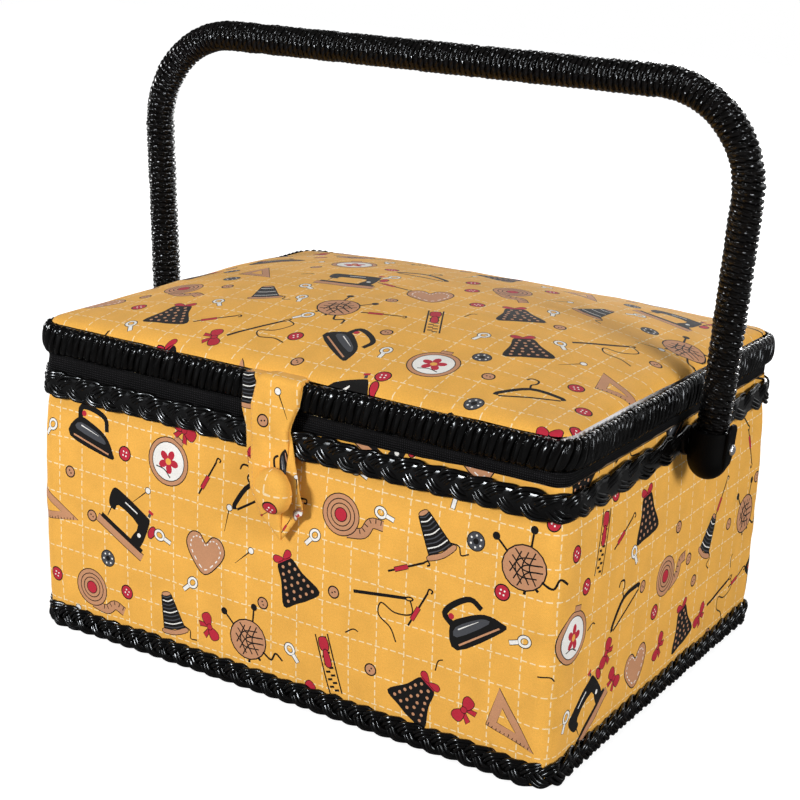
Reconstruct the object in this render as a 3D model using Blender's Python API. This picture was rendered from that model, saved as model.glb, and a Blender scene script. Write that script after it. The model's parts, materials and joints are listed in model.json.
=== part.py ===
"""Sewing basket: a cloth covered box with a padded hinged lid, a wrapped swing handle and a button strap.

Units are metres and +Z is up. The front faces -Y, the long side runs along X, and the origin is the
middle of the underside. Outsets are measured outwards from the printed cloth of the four walls.
"""
import math

import bmesh
import bpy
from mathutils import Matrix, Vector

# Box, over the printed cloth
BODY_LENGTH = 0.300
BODY_DEPTH = 0.234
CORNER_RADIUS = 0.009
WALL_HEIGHT = 0.1461
FIT_GAP = 0.0003
CORNER_STEPS = 5
SHARP_ANGLE = math.radians(35)

# Wall and floor layers
BASE_CLOTH_THICKNESS = 0.0008
BASE_BOARD_THICKNESS = 0.003
WALL_BOARD_THICKNESS = 0.0024
COVER_THICKNESS = 0.0024
COVER_BULGE = 0.0003
COVER_PINCH = 0.0017
COVER_STEP_HEIGHT = 0.0009
LINING_THICKNESS = 0.0008
FLOOR_PAD_THICKNESS = 0.004
TAPE_THICKNESS = 0.0008
TAPE_FOLD_THICKNESS = 0.0005
TAPE_HEIGHT = 0.0067

# Plaited edgings
BASE_BRAID_HEIGHT = 0.0132
BASE_BRAID_STAND = 0.0032
TOP_BRAID_HEIGHT = 0.0139
TOP_BRAID_STAND = 0.0028
TOP_BRAID_TO_TAPE = 0.002
BRAID_ROUNDING_SHARE = 0.28

# Lid rim: a flat hoop wound with cane
RIM_HEIGHT = 0.0139
RIM_STAND = 0.0027
RIM_WIDTH = 0.0062
RIM_CANE_THICKNESS = 0.0012
RIM_ROUNDING = 0.0013
RIM_GROOVE_DEPTH = 0.0006
RIM_TURNS = 160
RIM_TURN_SLANT = 0.0012

# Lid layers and cushion
LID_RISE = 0.0020
LID_BOARD_THICKNESS = 0.0025
UNDERLAY_THICKNESS = 0.0009
LID_CLOTH_THICKNESS = 0.001
LID_LINING_THICKNESS = 0.0035
LID_LINING_INSET = 0.009
LID_LINING_RADIUS = 0.006
SHOULDER_RISE = 0.0032
SHOULDER_WIDTH = 0.0107
CROWN_RISE = 0.0171
CROWN_POWER = 2.2
CROWN_END_POWER = 2.8
PAD_OVERHANG = 0.0013
PAD_CORNER_RADIUS = 0.030
PAD_SIDE_STEPS = (6, 5)
SHOULDER_SHARES = (0.0, 0.12, 0.35, 0.70, 1.0)
CROWN_ROW_SHARES = (0.28, 0.55, 0.80)
CORNER_LIMIT_SHARE = 0.9

# Lid lining fittings
POCKET_LENGTH = 0.130
POCKET_DEPTH = 0.120
POCKET_RADIUS = 0.010
POCKET_THICKNESS = 0.002
POCKET_END_GAP = 0.026
POCKET_BAND_WIDTH = 0.008
POCKET_BAND_THICKNESS = 0.0012
PINCUSHION_RADIUS = 0.030
PINCUSHION_THICKNESS = 0.0085
PINCUSHION_END_GAP = 0.036

# Accessory tray and its ledges
TRAY_END_GAP = 0.004
TRAY_SIDE_GAP = 0.0015
TRAY_RADIUS = 0.008
TRAY_HEIGHT = 0.034
TRAY_WALL = 0.0018
TRAY_BELOW_TOP = 0.0132
TRAY_POCKET_RADIUS = 0.006
TRAY_COLUMN_SHARES = (0.0, 0.34, 0.66, 1.0)
TRAY_ROW_SHARES = ((0.0, 1.0), (0.0, 0.5, 1.0), (0.0, 0.36, 1.0))
LEDGE_END_GAP = 0.0125
LEDGE_HEIGHT = 0.008
LEDGE_DEPTH = 0.007

# Handle: a rod bent to a U, wound with cane, in two sleeves on rivets
PIVOT_BELOW_TOP = 0.0132
HANDLE_RISE = 0.165
HANDLE_SPLAY_SHARE = 0.0489
HANDLE_BEND_RADIUS = 0.050
BEND_STEPS = 8
HANDLE_CORE_RADIUS = 0.005
HANDLE_WRAP_RADIUS = 0.00775
HANDLE_GROOVE_DEPTH = 0.0008
HANDLE_TURNS = 90
CORE_SIDES = 12
WRAP_SIDES = 8
CORE_FOOT = 0.009
WRAP_FOOT = 0.0043
SLEEVE_RADIUS = 0.0099
SLEEVE_TOP = 0.0078
SLEEVE_STRAIGHT = 0.0055
SLEEVE_FLOOR = 0.0018
SLEEVE_END_SHARES = ((1.0, 0.0), (0.93, 0.35), (0.72, 0.68), (0.42, 0.90), (0.0, 1.0))
SLEEVE_END_DEPTH = 0.0108
PLATE_WIDTH = 0.0096
PLATE_STAND = 0.0007
PLATE_THICKNESS = 0.0018
PLATE_TOP = 0.0126
PLATE_FOOT = 0.0070
PLATE_CORNER = 0.0036
BORE_CLEARANCE = 0.0005
ROUND_STEPS = 20
RIVET_RADIUS = 0.0016
RIVET_HEAD_RADIUS = 0.0027
RIVET_HEAD_HEIGHT = 0.0017
RIVET_TAIL_RADIUS = 0.0032
RIVET_TAIL_THICKNESS = 0.0012
RIVET_DOME_SHARES = ((1.0, 0.0), (0.97, 0.35), (0.75, 0.72), (0.4, 0.94), (0.0, 1.0))
WASHER_RADIUS = 0.005
WASHER_THICKNESS = 0.0008
SPACER_RADIUS = 0.0065
SPACER_THICKNESS = 0.0012
SMALL_ROUND_STEPS = 12
CUTTER_OVERRUN = 0.01

# Hinge webbing at the back
HINGE_WIDTH = 0.040
HINGE_SPREAD = 0.170
HINGE_THICKNESS = 0.0008
HINGE_BODY_LEAF = 0.0209
HINGE_LID_LEAF = 0.0128
HINGE_HALF_SLOT = 0.00025

# Button strap
STRAP_THICKNESS = 0.0015
STRAP_CLEARANCE = 0.00075
STRAP_TOP_WIDTH = 0.038
STRAP_WIDTH = 0.028
STRAP_LENGTH = 0.0752
STRAP_DRIFT = 0.007
STRAP_CORNER = 0.0022
STRAP_DEPTH_SHARES = (0.0, 0.16, 0.40, 0.74)
STRAP_WIDEN_SHARES = (0.75, 0.35, 0.05, 0.0)
BUTTON_DROP = 0.051
BUTTON_RADIUS = 0.0115
BUTTON_HEIGHT = 0.0085
BUTTON_PROFILE_SHARES = (
    (0.80, 0.0),
    (0.97, 0.16),
    (1.0, 0.32),
    (0.93, 0.55),
    (0.74, 0.78),
    (0.42, 0.94),
    (0.0, 1.0),
)
MAGNET_RADIUS = 0.007
MAGNET_THICKNESS = 0.0011
CLASP_RADIUS = 0.007

# Base colour, roughness and metallic value of each finish
FINISHES = {
    "printed_cotton": ((0.80, 0.42, 0.08), 0.85, 0.0),
    "black_cane": ((0.012, 0.011, 0.011), 0.28, 0.0),
    "black_tape": ((0.014, 0.014, 0.015), 0.8, 0.0),
    "black_plastic": ((0.012, 0.012, 0.012), 0.5, 0.0),
    "steel": ((0.72, 0.72, 0.74), 0.25, 1.0),
    "fibreboard": ((0.35, 0.24, 0.15), 0.8, 0.0),
    "white_felt": ((0.80, 0.80, 0.78), 0.9, 0.0),
    "foam": ((0.78, 0.75, 0.62), 0.95, 0.0),
    "lining_cloth": ((0.62, 0.50, 0.30), 0.75, 0.0),
    "clear_plastic": ((0.75, 0.77, 0.78), 0.2, 0.0),
}

# Heights and outsets that follow from the sizes above
HALF_LENGTH = BODY_LENGTH / 2
HALF_DEPTH = BODY_DEPTH / 2
WALL_BOTTOM = BASE_CLOTH_THICKNESS + FIT_GAP
WALL_TOP = WALL_BOTTOM + WALL_HEIGHT
BOARD_OUTSET = -COVER_THICKNESS - 2 * FIT_GAP
BOARD_INSET = BOARD_OUTSET - WALL_BOARD_THICKNESS
LINING_OUTSET = BOARD_INSET - FIT_GAP
LINING_INSET = LINING_OUTSET - LINING_THICKNESS
TAPE_BOTTOM = WALL_TOP + FIT_GAP + TAPE_FOLD_THICKNESS - TAPE_HEIGHT
TAPE_TOP = WALL_TOP + FIT_GAP + TAPE_FOLD_THICKNESS
TOP_BRAID_TOP = TAPE_BOTTOM - TOP_BRAID_TO_TAPE
TOP_BRAID_BOTTOM = TOP_BRAID_TOP - TOP_BRAID_HEIGHT
COVER_TOP = TAPE_BOTTOM - FIT_GAP
BRAID_INSET = FIT_GAP - COVER_PINCH
RIM_BOTTOM = TAPE_TOP + FIT_GAP
RIM_TOP = RIM_BOTTOM + RIM_HEIGHT
RIM_INSET = RIM_STAND - RIM_WIDTH
LID_EDGE = RIM_INSET - FIT_GAP
LID_BOARD_BOTTOM = RIM_BOTTOM + LID_RISE
LID_BOARD_TOP = LID_BOARD_BOTTOM + LID_BOARD_THICKNESS
UNDERLAY_TOP = LID_BOARD_TOP + FIT_GAP + UNDERLAY_THICKNESS
PAD_BOTTOM = UNDERLAY_TOP + FIT_GAP
LID_LINING_TOP = LID_BOARD_BOTTOM - FIT_GAP
LID_LINING_BOTTOM = LID_LINING_TOP - LID_LINING_THICKNESS
POCKET_CENTRE_X = -(HALF_LENGTH - LID_LINING_INSET - POCKET_END_GAP - POCKET_LENGTH / 2)
PINCUSHION_CENTRE_X = HALF_LENGTH - LID_LINING_INSET - PINCUSHION_END_GAP - PINCUSHION_RADIUS
TRAY_TOP = WALL_TOP - TRAY_BELOW_TOP
TRAY_BOTTOM = TRAY_TOP - TRAY_HEIGHT
TRAY_LENGTH = 2 * (HALF_LENGTH + LINING_INSET - TRAY_END_GAP)
TRAY_DEPTH = 2 * (HALF_DEPTH + LINING_INSET - TRAY_SIDE_GAP)
LEDGE_LENGTH = 2 * (HALF_LENGTH + LINING_INSET - LEDGE_END_GAP)
PIVOT_HEIGHT = WALL_TOP - PIVOT_BELOW_TOP
SPACER_INNER = HALF_LENGTH + TOP_BRAID_STAND + FIT_GAP
SPACER_OUTER = SPACER_INNER + SPACER_THICKNESS
HALF_SPAN = SPACER_OUTER + FIT_GAP + SLEEVE_RADIUS
HINGE_FACE_Y = HALF_DEPTH + max(TOP_BRAID_STAND, RIM_STAND) + FIT_GAP
HINGE_AXIS = Vector((0, HINGE_FACE_Y + HINGE_THICKNESS, (TAPE_TOP + RIM_BOTTOM) / 2))
HANDLE_AXIS = Vector((0, 0, PIVOT_HEIGHT))
STRAP_BACK_Y = -(HALF_DEPTH + max(TOP_BRAID_STAND, RIM_STAND) + STRAP_CLEARANCE)
STRAP_FRONT_Y = STRAP_BACK_Y - STRAP_THICKNESS
STRAP_TOP = RIM_TOP - RIM_ROUNDING
STRAP_AXIS = Vector((0, STRAP_FRONT_Y, STRAP_TOP + FIT_GAP / 2))


def clear_scene():
    for item in list(bpy.data.objects):
        bpy.data.objects.remove(item, do_unlink=True)


def finish_material(name, finish):
    colour, roughness, metallic = FINISHES[finish]
    material = bpy.data.materials.new(name + "_finish")
    material.use_nodes = True
    shader = material.node_tree.nodes["Principled BSDF"]
    shader.inputs["Base Color"].default_value = (*colour, 1.0)
    shader.inputs["Roughness"].default_value = roughness
    shader.inputs["Metallic"].default_value = metallic
    material.diffuse_color = (*colour, 1.0)
    return material


def body_empty(name, location, parent=None):
    empty = bpy.data.objects.new(name, None)
    bpy.context.scene.collection.objects.link(empty)
    empty.location = Vector(location)
    if parent is not None:
        empty.parent = parent
        empty.location = Vector(location) - parent.location
    return empty


def world_place(empty):
    place = Vector((0, 0, 0))
    while empty is not None:
        place += empty.location
        empty = empty.parent
    return place


def add_object(name, mesh_points, faces, finish, body):
    """Make one closed solid from points in world space and hang it on its body's empty."""
    mesh = bpy.data.meshes.new(name)
    mesh.from_pydata([tuple(point) for point in mesh_points], [], faces)
    work = bmesh.new()
    work.from_mesh(mesh)
    bmesh.ops.recalc_face_normals(work, faces=work.faces)
    work.to_mesh(mesh)
    work.free()
    mesh.shade_smooth()
    mesh.set_sharp_from_angle(angle=SHARP_ANGLE)
    item = bpy.data.objects.new(name, mesh)
    bpy.context.scene.collection.objects.link(item)
    mesh.materials.append(finish_material(name, finish))
    item.parent = body
    item.matrix_parent_inverse = Matrix.Translation(-world_place(body))
    return item


def cut_with(item, cutter, operation="DIFFERENCE"):
    cut = item.modifiers.new("cut_" + cutter.name, "BOOLEAN")
    cut.object = cutter
    cut.operation = operation
    cut.solver = "EXACT"


def as_guide(item):
    """Keep an object as a guide for another one's shape, out of the model itself."""
    item.hide_render = True
    item.display_type = "WIRE"
    return item


def rounded_outline(half_length, half_depth, radius, side_steps=(1, 1)):
    """Points of a rounded rectangle, anticlockwise, with the same count for every size."""
    corners = ((1, 1, 0), (-1, 1, 1), (-1, -1, 2), (1, -1, 3))
    points = []
    for index, (sign_x, sign_y, quarter) in enumerate(corners):
        centre = Vector((sign_x * (half_length - radius), sign_y * (half_depth - radius)))
        for step in range(CORNER_STEPS + 1):
            angle = math.radians(90) * (quarter + step / CORNER_STEPS)
            points.append(centre + radius * Vector((math.cos(angle), math.sin(angle))))
        steps = side_steps[index % 2]
        next_x, next_y, next_quarter = corners[(index + 1) % 4]
        next_centre = Vector((next_x * (half_length - radius), next_y * (half_depth - radius)))
        angle = math.radians(90) * next_quarter if next_quarter else 0
        start = points[-1]
        end = next_centre + radius * Vector((math.cos(angle), math.sin(angle)))
        for step in range(1, steps):
            points.append(start.lerp(end, step / steps))
    return points


def body_outline(outset, radius=None, side_steps=(1, 1)):
    if radius is None:
        radius = CORNER_RADIUS + outset
    return rounded_outline(HALF_LENGTH + outset, HALF_DEPTH + outset, radius, side_steps)


def bridge_faces(low_start, high_start, count):
    return [
        (low_start + step, low_start + (step + 1) % count, high_start + (step + 1) % count, high_start + step)
        for step in range(count)
    ]


def ring_body(name, profile, finish, body):
    """Sweep a closed profile of outset and height round the box."""
    points = []
    for outset, height in profile:
        points += [Vector((x, y, height)) for x, y in body_outline(outset)]
    count = len(points) // len(profile)
    faces = []
    for index in range(len(profile)):
        following = (index + 1) % len(profile)
        faces += bridge_faces(index * count, following * count, count)
    return add_object(name, points, faces, finish, body)


def plate_body(name, outline, bottom, top, finish, body):
    count = len(outline)
    points = [Vector((x, y, bottom)) for x, y in outline]
    points += [Vector((x, y, top)) for x, y in outline]
    faces = bridge_faces(0, count, count)
    faces.append(tuple(reversed(range(count))))
    faces.append(tuple(range(count, 2 * count)))
    return add_object(name, points, faces, finish, body)


def turned_body(name, profile, place, finish, body, steps=ROUND_STEPS):
    """Turn a profile of radius and distance about an axis; place(radial_u, radial_v, along) gives the point.

    A profile that starts and ends at radius zero makes a closed lump, and any other profile closes on
    itself as a ring.
    """
    points = []
    rows = []
    for radius, along in profile:
        if radius == 0:
            rows.append([len(points)])
            points.append(place(0, 0, along))
            continue
        row = []
        for step in range(steps):
            angle = math.tau * step / steps
            row.append(len(points))
            points.append(place(radius * math.cos(angle), radius * math.sin(angle), along))
        rows.append(row)
    is_ring = len(rows[0]) > 1 and len(rows[-1]) > 1
    pairs = list(zip(rows, rows[1:]))
    if is_ring:
        pairs.append((rows[-1], rows[0]))
    faces = []
    for low, high in pairs:
        for step in range(steps):
            following = (step + 1) % steps
            if len(low) == 1:
                faces.append((low[0], high[following], high[step]))
            elif len(high) == 1:
                faces.append((low[step], low[following], high[0]))
            else:
                faces.append((low[step], low[following], high[following], high[step]))
    return add_object(name, points, faces, finish, body)


def prism_body(name, outline, place, finish, body):
    """Extrude an outline between place(point, 0) and place(point, 1)."""
    count = len(outline)
    points = [place(point, 0) for point in outline] + [place(point, 1) for point in outline]
    faces = bridge_faces(0, count, count)
    faces.append(tuple(reversed(range(count))))
    faces.append(tuple(range(count, 2 * count)))
    return add_object(name, points, faces, finish, body)


def rivet_cutter():
    """A guide along the pivot axis that drills every layer that the rivets pass through."""
    reach = HALF_SPAN + SLEEVE_RADIUS + PLATE_STAND + CUTTER_OVERRUN
    radius = RIVET_RADIUS + FIT_GAP
    mesh = bpy.data.meshes.new("rivet_bore")
    work = bmesh.new()
    bmesh.ops.create_cone(
        work,
        cap_ends=True,
        segments=SMALL_ROUND_STEPS,
        radius1=radius,
        radius2=radius,
        depth=2 * reach,
        matrix=Matrix.Translation(HANDLE_AXIS) @ Matrix.Rotation(math.radians(90), 4, "Y"),
    )
    work.to_mesh(mesh)
    work.free()
    cutter = bpy.data.objects.new("rivet_bore", mesh)
    bpy.context.scene.collection.objects.link(cutter)
    return as_guide(cutter)


def make_base(body):
    cloth = body_outline(BOARD_OUTSET)
    plate_body("base_cloth", cloth, 0, BASE_CLOTH_THICKNESS, "black_tape", body)
    board = body_outline(BOARD_INSET - FIT_GAP)
    board_top = WALL_BOTTOM + BASE_BOARD_THICKNESS
    plate_body("base_board", board, WALL_BOTTOM, board_top, "fibreboard", body)
    pad_bottom = board_top + FIT_GAP
    pad = body_outline(LINING_INSET - FIT_GAP)
    plate_body("floor_pad", pad, pad_bottom, pad_bottom + FLOOR_PAD_THICKNESS, "lining_cloth", body)


def make_walls(body, bore):
    wall = ring_body(
        "wall_board",
        (
            (BOARD_OUTSET, WALL_BOTTOM),
            (BOARD_OUTSET, WALL_TOP),
            (BOARD_INSET, WALL_TOP),
            (BOARD_INSET, WALL_BOTTOM),
        ),
        "fibreboard",
        body,
    )
    cut_with(wall, bore)
    lining_bottom = WALL_BOTTOM + BASE_BOARD_THICKNESS + FIT_GAP
    lining = ring_body(
        "wall_lining",
        (
            (LINING_OUTSET, lining_bottom),
            (LINING_OUTSET, COVER_TOP),
            (LINING_INSET, COVER_TOP),
            (LINING_INSET, lining_bottom),
        ),
        "lining_cloth",
        body,
    )
    cut_with(lining, bore)


def make_body_cover(body, bore):
    """Padded cloth: full between the two plaits and drawn in behind them."""
    pinched = -COVER_PINCH
    inner = -COVER_THICKNESS - FIT_GAP
    lower = BASE_BRAID_HEIGHT + FIT_GAP
    upper = TOP_BRAID_BOTTOM - FIT_GAP
    middle = (lower + upper) / 2
    quarter = (upper - lower) / 4
    profile = (
        (pinched, WALL_BOTTOM + FIT_GAP),
        (pinched, lower),
        (-COVER_BULGE, lower + COVER_STEP_HEIGHT),
        (COVER_BULGE / 2, middle - quarter),
        (COVER_BULGE, middle),
        (COVER_BULGE / 2, middle + quarter),
        (-COVER_BULGE, upper - COVER_STEP_HEIGHT),
        (pinched, upper),
        (pinched, COVER_TOP),
        (inner, COVER_TOP),
        (inner, WALL_BOTTOM + FIT_GAP),
    )
    cut_with(ring_body("body_cover", profile, "printed_cotton", body), bore)


def braid_profile(stand, bottom, height):
    """A plait's outer shape: a band with rounded upper and lower edges."""
    rounding = height * BRAID_ROUNDING_SHARE
    half = rounding * (1 - math.sqrt(0.5))
    top = bottom + height
    slope = stand - BRAID_INSET
    inner_rounding = min(rounding, slope * (1 - BRAID_ROUNDING_SHARE))
    inner_half = inner_rounding * (1 - math.sqrt(0.5))
    return (
        (BRAID_INSET, bottom),
        (stand - inner_rounding, bottom),
        (stand - inner_half, bottom + half),
        (stand, bottom + rounding),
        (stand, top - rounding),
        (stand - inner_half, top - half),
        (stand - inner_rounding, top),
        (BRAID_INSET, top),
    )


def make_edgings(body, bore):
    ring_body("base_braid", braid_profile(BASE_BRAID_STAND, 0, BASE_BRAID_HEIGHT), "black_cane", body)
    upper = braid_profile(TOP_BRAID_STAND, TOP_BRAID_BOTTOM, TOP_BRAID_HEIGHT)
    cut_with(ring_body("top_braid", upper, "black_cane", body), bore)
    outer = BOARD_OUTSET + FIT_GAP
    inner = BOARD_INSET - FIT_GAP
    fold = WALL_TOP + FIT_GAP
    ring_body(
        "rim_tape",
        (
            (outer, TAPE_BOTTOM),
            (outer + TAPE_THICKNESS, TAPE_BOTTOM),
            (outer + TAPE_THICKNESS, TAPE_TOP),
            (inner - TAPE_THICKNESS, TAPE_TOP),
            (inner - TAPE_THICKNESS, TAPE_BOTTOM),
            (inner, TAPE_BOTTOM),
            (inner, fold),
            (outer, fold),
        ),
        "black_tape",
        body,
    )


def tray_cells():
    """Low and high corners of each compartment of the tray, as shares worked out into lengths."""
    inner_length = TRAY_LENGTH - 2 * TRAY_WALL
    inner_depth = TRAY_DEPTH - 2 * TRAY_WALL
    half_wall = TRAY_WALL / 2
    cells = []
    for column, rows in enumerate(TRAY_ROW_SHARES):
        left = -inner_length / 2 + inner_length * TRAY_COLUMN_SHARES[column]
        right = -inner_length / 2 + inner_length * TRAY_COLUMN_SHARES[column + 1]
        for low, high in zip(rows, rows[1:]):
            front = -inner_depth / 2 + inner_depth * low
            back = -inner_depth / 2 + inner_depth * high
            cells.append(
                (
                    left + (half_wall if column else 0),
                    front + (half_wall if low else 0),
                    right - (half_wall if column < len(TRAY_ROW_SHARES) - 1 else 0),
                    back - (half_wall if high < 1 else 0),
                )
            )
    return cells


def tray_cutter():
    points = []
    faces = []
    for left, front, right, back in tray_cells():
        centre = Vector(((left + right) / 2, (front + back) / 2))
        outline = [
            centre + point
            for point in rounded_outline((right - left) / 2, (back - front) / 2, TRAY_POCKET_RADIUS)
        ]
        count = len(outline)
        start = len(points)
        points += [Vector((x, y, TRAY_BOTTOM + TRAY_WALL)) for x, y in outline]
        points += [Vector((x, y, TRAY_TOP + CUTTER_OVERRUN)) for x, y in outline]
        faces += bridge_faces(start, start + count, count)
        faces.append(tuple(reversed(range(start, start + count))))
        faces.append(tuple(range(start + count, start + 2 * count)))
    mesh = bpy.data.meshes.new("tray_hollows")
    mesh.from_pydata([tuple(point) for point in points], [], faces)
    cutter = bpy.data.objects.new("tray_hollows", mesh)
    bpy.context.scene.collection.objects.link(cutter)
    return as_guide(cutter)


def make_tray(body):
    outline = rounded_outline(TRAY_LENGTH / 2, TRAY_DEPTH / 2, TRAY_RADIUS)
    tray = plate_body("accessory_tray", outline, TRAY_BOTTOM, TRAY_TOP, "clear_plastic", body)
    cut_with(tray, tray_cutter())
    top = TRAY_BOTTOM - FIT_GAP
    outer = HALF_DEPTH + LINING_INSET - FIT_GAP
    for side, name in ((-1, "tray_ledge_front"), (1, "tray_ledge_back")):
        outline = [
            Vector((-LEDGE_LENGTH / 2, side * outer)),
            Vector((LEDGE_LENGTH / 2, side * outer)),
            Vector((LEDGE_LENGTH / 2, side * (outer - LEDGE_DEPTH))),
            Vector((-LEDGE_LENGTH / 2, side * (outer - LEDGE_DEPTH))),
        ]
        plate_body(name, outline, top - LEDGE_HEIGHT, top, "lining_cloth", body)


def make_rim(lid):
    """A flat hoop, and the cane wound over it, which is open towards the lid board."""
    lip = RIM_CANE_THICKNESS + FIT_GAP
    hoop_outer = RIM_STAND - lip
    ring_body(
        "lid_rim_hoop",
        (
            (RIM_INSET, RIM_BOTTOM + lip),
            (hoop_outer, RIM_BOTTOM + lip),
            (hoop_outer, RIM_TOP - lip),
            (RIM_INSET, RIM_TOP - lip),
        ),
        "fibreboard",
        lid,
    )
    make_rim_wrap(lid, hoop_outer + FIT_GAP)


def outline_frame(distance):
    """Point and outward direction on the cloth outline, at a distance from the middle of the right side."""
    side_x = BODY_LENGTH - 2 * CORNER_RADIUS
    side_y = BODY_DEPTH - 2 * CORNER_RADIUS
    arc = math.radians(90) * CORNER_RADIUS
    lengths = (side_y / 2, arc, side_x, arc, side_y, arc, side_x, arc, side_y / 2)
    distance %= sum(lengths)
    place = Vector((HALF_LENGTH, 0))
    heading = math.radians(90)
    for index, length in enumerate(lengths):
        step = min(distance, length)
        if index % 2:
            centre = place + CORNER_RADIUS * Vector((-math.sin(heading), math.cos(heading)))
            heading += step / CORNER_RADIUS
            place = centre + CORNER_RADIUS * Vector((math.sin(heading), -math.cos(heading)))
        else:
            place = place + step * Vector((math.cos(heading), math.sin(heading)))
        distance -= step
        if distance <= 0:
            break
    return place, Vector((math.sin(heading), -math.cos(heading)))


def outline_length():
    return 2 * (BODY_LENGTH + BODY_DEPTH) - 8 * CORNER_RADIUS + math.tau * CORNER_RADIUS


def make_rim_wrap(lid, bore_outset):
    """Cane turns side by side: ridges with V grooves between them, slanting a little."""
    total = outline_length()
    rows = (
        (RIM_STAND - RIM_ROUNDING, RIM_TOP, 1.0),
        (RIM_STAND, RIM_TOP - RIM_ROUNDING, 1.0),
        (RIM_STAND, RIM_BOTTOM + RIM_ROUNDING, -1.0),
        (RIM_STAND - RIM_ROUNDING, RIM_BOTTOM, -1.0),
    )
    points = []
    loops = []
    stations = 2 * RIM_TURNS
    for outset, height, slant in rows:
        loop = []
        for station in range(stations):
            depth = RIM_GROOVE_DEPTH if station % 2 else 0
            place, outwards = outline_frame(total * station / stations + slant * RIM_TURN_SLANT)
            x, y = place + (outset - depth) * outwards
            loop.append(len(points))
            points.append(Vector((x, y, height)))
        loops.append(loop)
    faces = []
    for low, high in zip(loops, loops[1:]):
        faces += bridge_faces(low[0], high[0], stations)
    inner_rows = (
        (RIM_INSET, RIM_BOTTOM),
        (RIM_INSET, RIM_BOTTOM + RIM_CANE_THICKNESS),
        (bore_outset, RIM_BOTTOM + RIM_CANE_THICKNESS),
        (bore_outset, RIM_TOP - RIM_CANE_THICKNESS),
        (RIM_INSET, RIM_TOP - RIM_CANE_THICKNESS),
        (RIM_INSET, RIM_TOP),
    )
    inner_loops = []
    for outset, height in inner_rows:
        loop = []
        for distance in plain_distances():
            place, outwards = outline_frame(distance)
            x, y = place + outset * outwards
            loop.append(len(points))
            points.append(Vector((x, y, height)))
        inner_loops.append(loop)
    plain = len(inner_loops[0])
    for low, high in zip(inner_loops, inner_loops[1:]):
        faces += bridge_faces(low[0], high[0], plain)
    faces += zip_by_distance(loops[-1], inner_loops[0], stations)
    faces += zip_by_distance(loops[0], inner_loops[-1], stations)
    add_object("lid_rim_wrap", points, faces, "black_cane", lid)


def plain_distances():
    """Distances along the outline at which a plain ring needs a point: corners and the middles of sides."""
    side_x = BODY_LENGTH - 2 * CORNER_RADIUS
    side_y = BODY_DEPTH - 2 * CORNER_RADIUS
    arc = math.radians(90) * CORNER_RADIUS
    distances = [0]
    reach = 0
    for straight in (side_y / 2, side_x, side_y, side_x):
        reach += straight
        for step in range(CORNER_STEPS + 1):
            distances.append(reach + arc * step / CORNER_STEPS)
        reach += arc
    return distances


def zip_by_distance(fine, plain, stations):
    """Triangles between the fine grooved loop and a plain loop, matched by distance along the outline."""
    total = outline_length()
    marks = plain_distances() + [total]
    faces = []
    low = 0
    high = 0
    while low < stations or high < len(plain):
        low_next = total * (low + 1) / stations if low < stations else math.inf
        high_next = marks[high + 1] if high < len(plain) else math.inf
        first = fine[low % stations]
        second = plain[high % len(plain)]
        if low_next <= high_next:
            low += 1
            faces.append((first, fine[low % stations], second))
        else:
            high += 1
            faces.append((first, plain[high % len(plain)], second))
    return faces


def crown_height(x, y):
    share_x = min(1, abs(x) / (HALF_LENGTH + LID_EDGE))
    share_y = min(1, abs(y) / (HALF_DEPTH + LID_EDGE))
    return CROWN_RISE * (1 - share_x ** CROWN_END_POWER) * (1 - share_y ** CROWN_POWER)


def shoulder_height(inset):
    share = min(1, inset / SHOULDER_WIDTH)
    return SHOULDER_RISE * (1 - (1 - share) ** CROWN_POWER) ** (1 / CROWN_POWER)


def cushion_rows(shrink):
    """Rows of outset, corner radius and height from the cushion's foot to near its middle."""
    foot = LID_EDGE - FIT_GAP / 2
    rim = RIM_TOP + FIT_GAP
    brow = foot + PAD_OVERHANG
    foot_radius = CORNER_RADIUS + foot
    rows = [(foot, foot_radius, PAD_BOTTOM), (foot, foot_radius, rim)]
    growth = PAD_CORNER_RADIUS - foot_radius
    for share in SHOULDER_SHARES:
        inset = SHOULDER_WIDTH * share
        height = rim + shoulder_height(inset + PAD_OVERHANG)
        rows.append((brow - inset, foot_radius + PAD_OVERHANG + growth * share, height))
    reach = HALF_DEPTH - SHOULDER_WIDTH
    for share in CROWN_ROW_SHARES:
        radius = min(PAD_CORNER_RADIUS, (reach - reach * share) * CORNER_LIMIT_SHARE)
        rows.append((brow - SHOULDER_WIDTH - reach * share, radius, rim + SHOULDER_RISE))
    lowered = []
    for outset, radius, height in rows:
        drop = 0 if height <= PAD_BOTTOM else shrink
        lowered.append((outset - shrink, max(radius - shrink, foot_radius / 2), height - drop))
    return lowered


def cushion_surface(shrink):
    """Points and row count of the cushion's outer form, each row a rounded rectangle on the crown."""
    rows = []
    for index, (outset, radius, height) in enumerate(cushion_rows(shrink)):
        row = []
        for x, y in body_outline(outset, radius, PAD_SIDE_STEPS):
            lift = crown_height(x, y) if index > 1 else 0
            row.append(Vector((x, y, height + lift)))
        rows.append(row)
    return rows


def stack_faces(rows, start):
    count = len(rows[0])
    faces = []
    for index in range(len(rows) - 1):
        faces += bridge_faces(start + index * count, start + (index + 1) * count, count)
    return faces


def fan_faces(row_start, count, tip):
    return [(row_start + step, row_start + (step + 1) % count, tip) for step in range(count)]


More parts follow.
